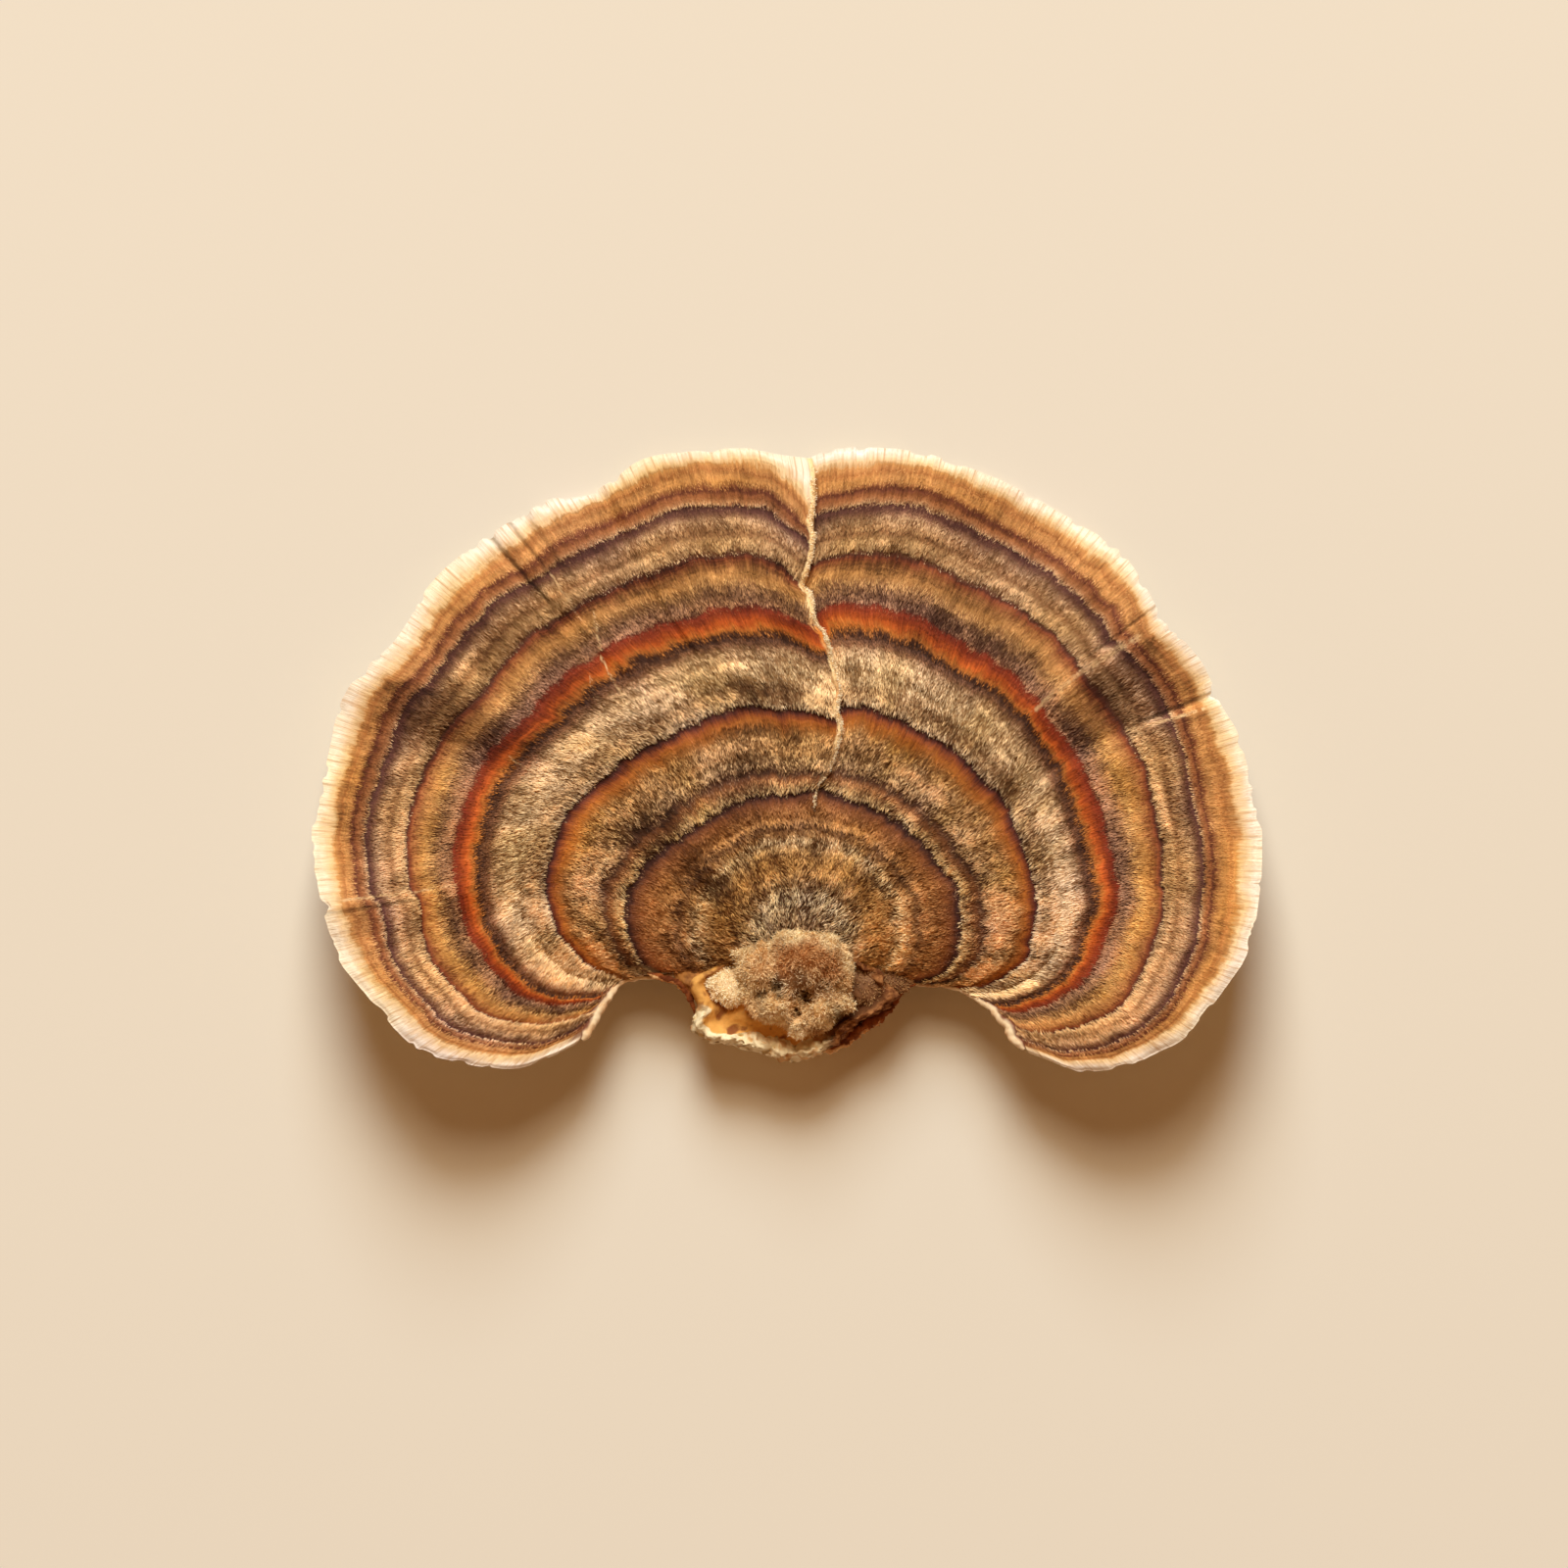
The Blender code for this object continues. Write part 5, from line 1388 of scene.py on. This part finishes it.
# The knob's top: its height in mm, and lumps and hollows on it: x, y, radius, height
KNOB_TOP = 6.0
KNOB_LUMPS = [
    (0.9, -1.0, 1.9, 1.75), (-2.7, -1.8, 1.1, 0.95), (-1.2, -4.3, 0.85, 0.75), (1.7, -4.2, 0.9, 0.75),
    (0.7, -3.5, 0.5, -1.9), (0.2, -4.5, 0.28, -1.0), (-1.2, -3.1, 0.45, -0.75), (-2.3, -3.3, 0.4, -0.6),
    (2.7, -3.0, 0.45, -0.6), (-1.6, -0.6, 0.45, -0.6), (0.25, -5.4, 0.4, 0.5), (0.6, -2.4, 0.5, 0.3)]


def ball(subdivisions):
    """The points and triangles of a ball of nearly equal triangles."""
    mesh = bmesh.new()
    bmesh.ops.create_icosphere(mesh, subdivisions=subdivisions, radius=1.0)
    points = np.array([vertex.co[:] for vertex in mesh.verts])
    triangles = np.array([[vertex.index for vertex in face.verts] for face in mesh.faces])
    mesh.free()
    return points, triangles


def knob_surface(directions):
    """Points of the knob: a steep-sided ball whose top is a landscape of lumps and hollows."""
    flat = np.hypot(directions[:, 0], directions[:, 1])
    turn = np.degrees(np.arctan2(directions[:, 1], directions[:, 0]))
    ragged = 1.0 + 0.05 * rough_noise(directions, 0.45, 71, 3) + 0.03 * soft_noise(directions, 0.1, 75)
    reach = (read_table(KNOB_OUTLINE, turn) - KNOB_WOOL_ROOM) * ragged * (flat + 1e-9) ** 0.7
    points = KNOB_MIDDLE + unit(directions * np.array([1.0, 1.0, 0.0])) * reach[:, None]
    top = KNOB_TOP + 0.2 * rough_noise(points, 0.9, 77, 3)
    for x, y, radius, height in KNOB_LUMPS:
        top += height * np.exp(-((points[:, 0] - x) ** 2 + (points[:, 1] - y) ** 2) / radius ** 2)
    upward = directions[:, 2]
    height = np.where(upward > 0.0, top - KNOB_MIDDLE[2], KNOB_DEPTH)
    points[:, 2] += height * np.sign(upward) * np.abs(upward) ** 0.55
    return points - MIDDLE


print("knob outline:", len(KNOB_OUTLINE), "points, with", len(KNOB_LUMPS), "lumps and hollows")

# %% Tones of the knob's wool
# How much noise shifts each tone, and its places seen from above: x, y, radius
# The cream places are partly cream wool, at the left and on the white tuft, and partly painted highlight on
# the lit crest and on the tops of the lower lobes; the shaded places are painted shade in the hollows
KNOB_TONES = {
    "rusty": (1.0, [(-0.2, -0.9, 1.1), (0.9, -0.8, 1.1), (-0.5, -1.7, 0.8), (2.2, -1.5, 0.9)]),
    "greyish": (-1.0, [(-1.0, -2.7, 0.9), (0.5, -2.6, 1.0), (1.7, -2.9, 0.9), (0.2, -3.4, 0.6)]),
    "shaded": (0.5, [(0.7, -3.5, 0.5), (-1.2, -2.8, 0.5), (0.1, -4.5, 0.35), (2.8, -4.7, 0.6),
                     (-1.0, -3.5, 0.35), (-2.1, -3.5, 0.4)]),
    "cream": (0.6, [(-3.8, -0.9, 1.2), (-3.2, -2.8, 1.1), (0.2, -5.5, 0.7), (-1.4, -4.5, 1.0),
                    (1.8, -4.5, 1.0), (0.0, 0.4, 0.9), (2.2, 0.2, 0.9), (3.4, -1.3, 0.8),
                    (3.4, -4.0, 0.7), (-1.4, 0.3, 0.6)]),
}


def in_places(points, places):
    """1 in the middle of each place, fading to 0 outside its radius."""
    total = np.zeros(len(points))
    for x, y, radius in places:
        apart = np.hypot(points[:, 0] + MIDDLE[0] - x, points[:, 1] + MIDDLE[1] - y)
        total = np.maximum(total, 1.0 - smoothstep(0.35 * radius, 1.25 * radius, apart))
    return total


def knob_tones(points):
    blur = 0.3 * rough_noise(points, 0.8, 81, 2)
    return {tone: np.clip(in_places(points, places) + share * blur, 0.0, 1.0)
            for tone, (share, places) in KNOB_TONES.items()}


# The corners of a triangle in its cell of the bake map
TRIANGLE_CORNERS = [[0.1, 0.1], [0.9, 0.1], [0.1, 0.9]]


def make_lump(name, points, triangles, numbers):
    """A piece from the triangles of a ball and the places that its points have now."""
    return make_piece(name, points, [], triangles, numbers, cell_map(len(triangles), TRIANGLE_CORNERS))


def build_knob():
    directions, triangles = ball(6)
    points = knob_surface(directions)
    numbers = knob_tones(points)
    numbers["along"] = np.zeros(len(points))
    numbers["chance"] = np.full(len(points), 0.5)
    return make_lump("knob", points, triangles, numbers)


knob = build_knob()

# %% Wool on the knob
WOOL_COUNT = 36000
# Length and width of the hairs in mm: on the knob, on the lumps beside it and along the seam
KNOB_WOOL = (0.46, 0.05)
LUMP_WOOL = (0.28, 0.045)
EDGE_WOOL = (0.22, 0.045)
LOWEST_WOOL = -0.35


def wool_on(points, normals, random, length, width):
    """Woolly hairs that stand up from the points and bend over to one side."""
    tangle = np.stack([soft_noise(points, 0.5, seed) for seed in (91, 92, 93)], axis=1)
    first_way = unit(normals + 1.3 * tangle + 0.45 * random.standard_normal(points.shape))
    second_way = unit(0.25 * normals + 1.5 * tangle + 0.6 * random.standard_normal(points.shape))
    across = unit(np.cross(first_way, random.standard_normal(points.shape)))
    lengths = length * (0.6 + 0.8 * random.random(len(points)))
    widths = width * (0.7 + 0.6 * random.random(len(points)))
    return bent_hairs(points - 0.03 * normals, first_way, second_way, across, lengths, widths)


def grow_knob_wool():
    random = np.random.default_rng(17)
    directions = unit(random.standard_normal((3 * WOOL_COUNT, 3)))
    directions = directions[directions[:, 2] > LOWEST_WOOL][:WOOL_COUNT]
    roots = knob_surface(directions)
    step = 0.02
    side = unit(np.cross(directions, np.array([0.3, 0.2, 0.9])))
    other = np.cross(directions, side)
    first = knob_surface(unit(directions + step * side)) - roots
    second = knob_surface(unit(directions + step * other)) - roots
    normals = unit(np.cross(first, second))
    normals *= np.sign(np.sum(normals * directions, axis=1))[:, None]
    numbers = knob_tones(roots)
    shades = 0.5 + 0.7 * soft_noise(roots, 0.16, 79) + 0.2 * random.standard_normal(len(roots))
    numbers["chance"] = np.clip(shades, 0.0, 1.0)
    return make_hair_piece("knob_wool", wool_on(roots, normals, random, *KNOB_WOOL), numbers)


knob_wool = grow_knob_wool()

# %% Soft lumps beside the knob
# Middle, radii, how cream, how rusty, how shaded, hairs
SIDE_LUMPS = {
    "cream_flap": ((-4.0, -2.8, 4.4), (1.7, 1.2, 0.6), 1.3, 0.0, 0.0, 3400),
    "white_tuft": ((0.25, -5.55, 5.5), (0.55, 0.6, 0.65), 1.3, 0.0, 0.0, 800),
    "amber_web": ((-6.2, -2.3, 3.75), (1.7, 1.2, 0.65), 0.0, 1.0, 0.0, 0),
    "brown_shoulder": ((4.6, -2.6, 3.9), (2.8, 1.4, 0.65), 0.0, 0.8, 0.5, 7000),
}
# The seed of the wool on each lump that has some
SIDE_WOOL_SEEDS = {"cream_flap": 37, "brown_shoulder": 38, "white_tuft": 39}


def side_lump(name, directions):
    middle, radii = (np.array(values) for values in SIDE_LUMPS[name][:2])
    reach = 1.0 + 0.22 * rough_noise(directions, 0.6, 161, 4)
    return middle + directions * reach[:, None] * radii - MIDDLE


def grow_side_wool(name, seed):
    random = np.random.default_rng(seed)
    cream, rusty, shaded, count = SIDE_LUMPS[name][2:]
    spread = random.standard_normal((count, 3)) * np.array([1.0, 1.0, 0.6])
    directions = unit(spread + np.array([0.0, 0.0, 0.5]))
    tones = {"rusty": rusty, "greyish": 0.4, "shaded": shaded, "cream": cream}
    numbers = {label: np.full(count, value) for label, value in tones.items()}
    numbers["chance"] = 0.2 + 0.3 * cream + 0.5 * random.random(count)
    points = wool_on(side_lump(name, directions), unit(directions), random, *LUMP_WOOL)
    return make_hair_piece(f"{name}_wool", points, numbers)


side_wool = [grow_side_wool(name, seed) for name, seed in SIDE_WOOL_SEEDS.items()]

# %% Wool along the seam
# Growth, and how dense the wool is on the left lobe's free edge
SEAM_WOOL = [
    (0.26, 0.0), (0.34, 0.5), (0.5, 0.8), (0.56, 0.3), (0.62, 1.0), (0.7, 1.0), (0.74, 0.4), (0.95, 0.25),
    (0.99, 0.0)]
SEAM_WOOL_COUNT = 4400
SEAM_WOOL_REACH = 3.6


def grow_seam_wool():
    random = np.random.default_rng(27)
    rows = np.arange(len(ROWS))
    dense = read_table(SEAM_WOOL, ROWS) * np.gradient(ROWS)
    total = np.cumsum(dense)
    row = np.interp(random.random(SEAM_WOOL_COUNT) * total[-1], total, rows)
    station = SEAM_WOOL_REACH * random.random(SEAM_WOOL_COUNT)
    roots = read_between(skins["left"], row, station)
    sideways = 0.2 * random.standard_normal(len(row))
    away = np.stack([np.full(len(row), 0.7), sideways, np.full(len(row), 0.5)], axis=1)
    numbers = {label: np.zeros(len(row)) for label in ("rusty", "greyish", "shaded")}
    numbers["cream"] = np.full(len(row), 1.3)
    numbers["chance"] = random.random(len(row))
    return make_hair_piece("seam_wool", wool_on(roots, unit(away), random, *EDGE_WOOL), numbers)


seam_wool = grow_seam_wool()

# %% The wool's finish
# Plain, greyish, rusty, cream and palest, at the roots and at the tips
WOOL_ROOTS = [(204, 158, 108), (140, 106, 76), (160, 98, 50), (234, 198, 146), (238, 202, 146)]
WOOL_TIPS = [(246, 214, 164), (244, 220, 184), (216, 160, 104), (250, 228, 186), (255, 242, 214)]


def make_wool_finish():
    material, wire, shader = new_finish("knob wool")
    rusty, greyish, shaded, cream, chance, along = wire.numbers("rusty", "greyish", "shaded", "cream",
                                                                "chance", "along")
    layers = [greyish, rusty, cream.above(0.0, 1.0), cream.above(1.0, 1.3)]
    ends = []
    for colours in (WOOL_ROOTS, WOOL_TIPS):
        colour = tint(*colours[0])
        for share, over in zip(layers, colours[1:]):
            colour = wire.mix(share, colour, tint(*over))
        ends.append(colour)
    colour = wire.mix((along * (chance * 1.4 + 0.6)).above(0.05, 0.75), *ends)
    tone = (0.93 + chance * 0.34) * (1.0 - shaded * 0.66)
    colour = wire.shade(colour, tone, tone.power(1.12), tone.power(1.25))
    wire.feed(shader, {"Base Color": colour, "Roughness": 0.85, "Specular IOR Level": 0.2})
    return material


wool_finish = make_wool_finish()
for piece in [knob, knob_wool, seam_wool] + side_wool:
    piece.data.materials.append(wool_finish)
print("wool nodes:", len(wool_finish.node_tree.nodes))

# %% [markdown]
# ## The torn stub
#
# The bracket was broken off its log, and the flesh tore: amber and smooth inside, with a ragged
# cream crust outside. It is a surface of rings, from the middle of the flat cut outward, up the
# side, over the crust and into the groove below the knob. Rough noise of two lengths tears it.

# %% Build the stub
STUB_OUTLINE = [
    (0.0, 0.4), (-2.9, 0.0), (-5.4, -1.5), (-7.0, -2.6), (-6.3, -4.3), (-6.7, -5.6), (-5.6, -6.4),
    (-3.2, -6.8), (-0.6, -7.6), (1.3, -7.4), (2.6, -6.6), (4.3, -5.3), (6.1, -4.2), (6.6, -3.1),
    (5.3, -1.5), (2.6, 0.0)]
STUB_MIDDLE = (-0.2, -3.6)
# From the middle of the cut out and up: share of the outline, height, how much it is crust
STUB_PROFILE = [
    (0.03, 0.0, 0.0), (0.8, 0.0, 0.1), (0.855, 0.02, 0.5), (0.86, 0.5, 0.8), (0.92, 1.7, 0.9),
    (0.98, 2.7, 1.0), (1.0, 3.7, 1.0), (0.97, 4.6, 1.0), (0.91, 4.85, 1.0), (0.84, 4.5, 1.0),
    (0.76, 4.1, 1.0), (0.7, 4.05, 1.0), (0.62, 4.1, 1.0), (0.5, 4.5, 1.0), (0.3, 4.7, 1.0)]
# Across the stub, how far in the crust reaches: x, share of the outline
CRUST_REACH = [
    (-7.0, 0.9), (-5.5, 0.84), (-4.0, 0.75), (-1.0, 0.72), (1.5, 0.7), (3.0, 0.82), (6.0, 0.9)]
TOP_HEIGHT = 3.3
# Noise that tears the stub's side: mm, length in mm, seed, octaves
STUB_TEARS = [(0.3, 0.85, 101, 2), (0.12, 0.24, 105, 3)]
STUB_RINGS = 90
STUB_STATIONS = 240


def build_stub():
    profile = np.array(STUB_PROFILE)
    scaled = profile[:, :2] * np.array([6.0, 1.0])
    travelled = np.concatenate([[0.0], np.cumsum(np.linalg.norm(np.diff(scaled, axis=0), axis=1))])
    wanted = np.linspace(0.0, travelled[-1], STUB_RINGS)
    share, height, crust = (np.interp(wanted, travelled, profile[:, column]) for column in range(3))
    shares = np.linspace(0.0, 1.0, STUB_STATIONS)
    closed = [(x, y, 0.0) for x, y in STUB_OUTLINE + STUB_OUTLINE[:1]]
    outline = smooth_curve(closed, shares)[:, :2]
    spokes = outline - np.array(STUB_MIDDLE)
    flat = np.array(STUB_MIDDLE) + spokes[None] * share[:, None, None]
    points = np.concatenate([flat, np.broadcast_to(height[:, None, None], flat.shape[:2] + (1,))], axis=2)
    inside = read_table(CRUST_REACH, outline[:, 0])[None, :]
    on_top = smoothstep(inside - 0.05, inside + 0.02, share[:, None])
    crust = np.where(height[:, None] > TOP_HEIGHT, on_top, crust[:, None])
    sheltered = smoothstep(-4.7, -3.7, flat[:, :, 1]) * (1.0 - smoothstep(-4.4, -3.0, flat[:, :, 0]))
    crust = crust * (1.0 - sheltered * smoothstep(2.6, 3.4, height)[:, None])
    torn = smoothstep(0.02, 0.6, height)[:, None]
    ragged = layered_noise(points, STUB_TEARS)
    outward = unit(spokes)[None]
    amount = torn * (0.15 + 0.85 * crust) * ragged
    points[:, :, :2] += outward * amount[:, :, None]
    points[:, :, 2] += torn * (0.1 + 0.7 * crust) * 0.5 * rough_noise(points, 0.5, 111, 3)
    points[:, :, 2] = np.maximum(points[:, :, 2], 0.0)
    tone = np.clip(crust + 0.35 * rough_noise(points, 0.5, 121, 3), 0.0, 1.0)
    right_side = smoothstep(1.6, 2.8, points[:, :, 0])
    # Painted shade in the groove between the knob and the bark strip, on the stub's right
    deep = right_side * (1.0 - tone) * smoothstep(0.66, 0.76, share)[:, None]
    numbers = {"crust": tone, "height": points[:, :, 2], "gap": deep, "right": right_side,
               "stain": np.clip(0.5 + 0.9 * rough_noise(points, 0.7, 131, 3), 0.0, 1.0)}
    return make_sheet("torn_stub", points - MIDDLE, numbers, False)


stub = build_stub()

# %% The stub's finish


def make_stub_finish():
    material, wire, shader = new_finish("torn flesh")
    crust, stain, height, right, gap = wire.numbers("crust", "stain", "height", "right", "gap")
    grain = wire.cloud(2600.0)
    amber = wire.mix((stain + (grain - 0.5) * 0.8).above(0.4, 1.1), tint(236, 176, 94), tint(142, 82, 40))
    cream = wire.mix(stain.above(0.6, 0.95), tint(255, 238, 200), tint(232, 188, 134))
    colour = wire.mix(crust.above(0.3, 0.7), amber, cream)
    brown = wire.mix(grain.above(0.35, 0.65), tint(112, 62, 32), tint(172, 116, 70))
    colour = wire.mix(right * height.above(1.5, 2.5), colour, brown)
    # Painted shade in that groove
    colour = wire.mix(gap * height.above(2.0, 3.0), colour, tint(96, 56, 28))
    colour = wire.mix(1.0 - height.above(0.0, 0.03), colour, tint(226, 198, 152))
    tone = 0.96 + (grain - 0.5) * 0.5
    colour = wire.shade(colour, tone, tone.power(1.12), tone.power(1.3))
    wire.feed(shader, {"Base Color": colour, "Roughness": 0.7 + crust * 0.2, "Specular IOR Level": 0.2,
                       "Normal": wire.bump(grain, 0.5)})
    return material


stub_finish = make_stub_finish()
stub.data.materials.append(stub_finish)
print("stub nodes:", len(stub_finish.node_tree.nodes))

# %% [markdown]
# ## Bark and small lumps
#
# A strip of the log's dark bark came away with the stub on its right, and crumbs of it lie on its
# left. A cream flap and a white tuft of young flesh lie against the knob, a brown shoulder beside
# it, and an amber web in the angle of the left lobe. The bark is a flattened tube along a curve,
# and a lump is a ball drawn out and pushed about. All of them sink into what carries them.

# %% Build the bark
BARK_LINES = {
    "bark_strip": [(1.4, -7.0, 2.4), (2.4, -6.75, 2.9), (3.8, -6.05, 3.2), (5.0, -5.15, 3.4),
                   (6.2, -4.1, 3.6), (6.9, -3.2, 3.8), (7.9, -2.7, 3.9)],
    "bark_crumbs": [(-9.6, -2.0, 4.1), (-8.6, -2.3, 4.1), (-7.6, -2.6, 4.0), (-7.0, -3.3, 3.9),
                    (-6.65, -4.1, 3.8), (-6.5, -4.8, 3.6)],
}
BARK_THINNESS = {"bark_strip": 1.0, "bark_crumbs": 0.5}
BARK_WIDTH = [(0.0, 0.08), (0.1, 0.36), (0.4, 0.46), (0.7, 0.38), (0.9, 0.2), (1.0, 0.05)]


# Noise that pushes the bark's surface in and out: share of its width, length in mm, seed, octaves
BARK_FLAKES = [(0.34, 0.6, 141, 2), (0.3, 0.16, 145, 2)]


def tube(line, width, turns, flatness, flakes):
    """Rings of points around a line, pushed in and out by noise, and which way is sideways."""
    forward = unit(np.gradient(line, axis=0))
    side = unit(np.cross(forward, np.array([0.0, 0.0, 1.0])))
    up = np.cross(side, forward)
    ring = side[:, None] * np.cos(turns)[None, :, None]
    ring = ring + flatness * up[:, None] * np.sin(turns)[None, :, None]
    points = line[:, None] + ring * width[:, None, None]
    return points + ring * (layered_noise(points, flakes) * width[:, None])[:, :, None], side


def build_bark(name):
    shares = np.linspace(0.0, 1.0, 130)
    turns = np.linspace(0.0, 2.0 * math.pi, 33)
    width = read_table(BARK_WIDTH, shares) * BARK_THINNESS[name]
    points, _ = tube(smooth_curve(BARK_LINES[name], shares), width, turns, 0.7, BARK_FLAKES)
    outer = np.clip(np.cos(turns)[None] * 0.8 + 0.5 * rough_noise(points, 0.5, 151, 3), 0.0, 1.0)
    numbers = {"flaky": outer * smoothstep(0.72, 0.5, shares)[:, None]}
    return make_sheet(name, points - MIDDLE, numbers, True)


def make_bark_finish():
    material, wire, shader = new_finish("torn bark")
    grain = wire.cloud(1500.0, 0.65)
    dark = wire.mix(grain.above(0.35, 0.7), tint(104, 50, 22), tint(162, 90, 44))
    pale = wire.mix(grain.above(0.3, 0.7), tint(206, 138, 84), tint(244, 200, 146))
    flaky = wire.number("flaky")
    wire.feed(shader, {"Base Color": wire.mix(flaky.above(0.35, 0.65), dark, pale), "Roughness": 0.85,
                       "Specular IOR Level": 0.2, "Normal": wire.bump(grain, 0.6)})
    return material


bark_finish = make_bark_finish()
for name in BARK_LINES:
    build_bark(name).data.materials.append(bark_finish)

# %% Build the lumps
# Pale and dark colours of the flesh of each lump
LUMP_COLOURS = {
    "cream_flap": ((252, 232, 194), (236, 202, 154)),
    "white_tuft": ((252, 232, 194), (236, 202, 154)),
    "brown_shoulder": ((150, 104, 66), (96, 62, 40)),
    "amber_web": ((204, 142, 74), (112, 64, 32)),
}


def make_flesh_finish(name, pale, dark):
    material, wire, shader = new_finish(name)
    cloud = wire.cloud(900.0)
    colour = wire.mix(cloud.above(0.35, 0.75), tint(*pale), tint(*dark))
    wire.feed(shader, {"Base Color": colour, "Roughness": 0.75, "Normal": wire.bump(cloud, 0.4)})
    return material


for name, colours in LUMP_COLOURS.items():
    directions, triangles = ball(4)
    lump = make_lump(name, side_lump(name, directions), triangles, {})
    lump.data.materials.append(make_flesh_finish(f"{name} flesh", *colours))

# %% [markdown]
# ## The lips of the inner edges
#
# Along the lobes' inner edges the pale flesh of the pore side rolls out from under the skin, and
# from above it shows as a thin cream line. A lip is a flattened tube that follows the edge of the
# skin, a little outside and below it. It is painted dark, as shade, on the side where it meets the skin.

# %% Build the lips
LIP_ROWS = (0.22, 0.985)
LIP_WIDTH = [
    (0.22, 0.08), (0.3, 0.16), (0.5, 0.19), (0.62, 0.22), (0.75, 0.32), (0.88, 0.38), (0.95, 0.34),
    (0.985, 0.1)]


# How many stations inside the edge the skin is read, to see which way is outward
LIP_INSET = 14
LIP_OUT = 0.18
LIP_WAVE = 0.12
LIP_DENTS = [(0.3, 0.5, 175, 3)]


def build_edge_lip(name):
    """A thin rolled lip of pore flesh along a lobe's inner edge, seen just beyond it from above."""
    inside = np.flatnonzero((ROWS > LIP_ROWS[0]) & (ROWS < LIP_ROWS[1]))
    edge = skins[name][inside, -1]
    beyond = edge - skins[name][inside, -LIP_INSET]
    beyond[:, 2] = 0.0
    line = edge + LIP_OUT * unit(beyond)
    line[:, 2] = 0.6 * edge[:, 2] + 0.4 * pore_sides[name][inside, -1][:, 2]
    line += LIP_WAVE * np.stack([rough_noise(line, 1.1, seed, 2) for seed in (171, 172, 173)], axis=1)
    turns = np.linspace(0.0, 2.0 * math.pi, 17)
    points, side = tube(line, read_table(LIP_WIDTH, ROWS[inside]), turns, 0.8, LIP_DENTS)
    outward = np.sign(np.sum(side * beyond, axis=1))[:, None] * np.cos(turns)[None]
    # Painted shade on the side of the lip that meets the skin
    numbers = {"inner": smoothstep(0.1, 0.75, 0.35 * rough_noise(points, 0.6, 177, 2) - outward)}
    return make_sheet(f"{name}_edge_lip", points, numbers, True)


def make_lip_finish():
    material, wire, shader = new_finish("edge flesh")
    colour = wire.mix(wire.cloud(900.0).above(0.35, 0.75), tint(255, 232, 196), tint(220, 168, 112))
    inner = wire.number("inner")
    wire.feed(shader, {"Base Color": wire.mix(inner, colour, tint(116, 60, 34)), "Roughness": 0.75})
    return material


edge_flesh = make_lip_finish()
for name in LOBES:
    build_edge_lip(name).data.materials.append(edge_flesh)

# %% [markdown]
# ## The floor, the light and the camera
#
# The bracket was photographed from straight above on a pale cream surface. One large soft light
# stands beyond its far rim, half way up, so the shadows fall towards the stub with wide soft
# edges. Light that the cream surface throws back is warm, so the shadows are brown. A long lens
# far away keeps the outline true although the lobes rise and fall.

# %% Set the stage
FRAME_WIDTH = 0.1022
CAMERA_PLACE = (-0.00019, -0.00166, 1.2)
CAP_HEIGHT = 0.005
SENSOR = 36.0
# The key light's two halves, lower and upper: degrees above the floor, watts, colour
KEY_HALVES = [(36.0, 21.0, (0.88, 1.02, 1.06)), (49.5, 15.4, (1.0, 0.82, 0.55))]
KEY_DISTANCE = 1.7
KEY_SIDE = -0.08
KEY_SIZE = 0.88
FLOOR_REACH = 1.5
ROOM_COLOUR = (1.0, 0.45, 0.155, 1.0)
ROOM_LIGHT = 0.24


def set_stage():
    corners = [(FLOOR_REACH * x, FLOOR_REACH * y, 0.0) for x, y in ((-1, -1), (1, -1), (1, 1), (-1, 1))]
    data = bpy.data.meshes.new("floor")
    data.from_pydata(corners, [], [(0, 1, 2, 3)])
    floor = bpy.data.objects.new("floor", data)
    bpy.context.scene.collection.objects.link(floor)
    material, wire, shader = new_finish("cream floor")
    wire.feed(shader, {"Base Color": tint(240, 236, 228), "Roughness": 0.9})
    data.materials.append(material)
    for height, watts, colour in KEY_HALVES:
        lamp = bpy.data.lights.new("key light", "AREA")
        lamp.shape = "DISK"
        lamp.size = KEY_SIZE
        lamp.energy = watts
        lamp.color = colour
        key = bpy.data.objects.new("key light", lamp)
        up = math.radians(height)
        key.location = (KEY_SIDE, KEY_DISTANCE * math.cos(up), KEY_DISTANCE * math.sin(up))
        key.rotation_euler = (-key.location).to_track_quat("-Z", "Y").to_euler()
        bpy.context.scene.collection.objects.link(key)
    world = bpy.data.worlds.new("warm room")
    world.use_nodes = True
    background = world.node_tree.nodes["Background"]
    Wire(world.node_tree).feed(background, {"Color": ROOM_COLOUR, "Strength": ROOM_LIGHT})
    bpy.context.scene.world = world
    bpy.context.scene.view_settings.view_transform = "Standard"
    lens = bpy.data.cameras.new("camera")
    lens.sensor_width = SENSOR
    lens.lens = SENSOR * (CAMERA_PLACE[2] - CAP_HEIGHT) / FRAME_WIDTH
    lens.clip_start = 0.05
    camera = bpy.data.objects.new("camera", lens)
    camera.location = CAMERA_PLACE
    bpy.context.scene.collection.objects.link(camera)
    bpy.context.scene.camera = camera
    print("lens:", round(lens.lens, 1), "mm")


set_stage()
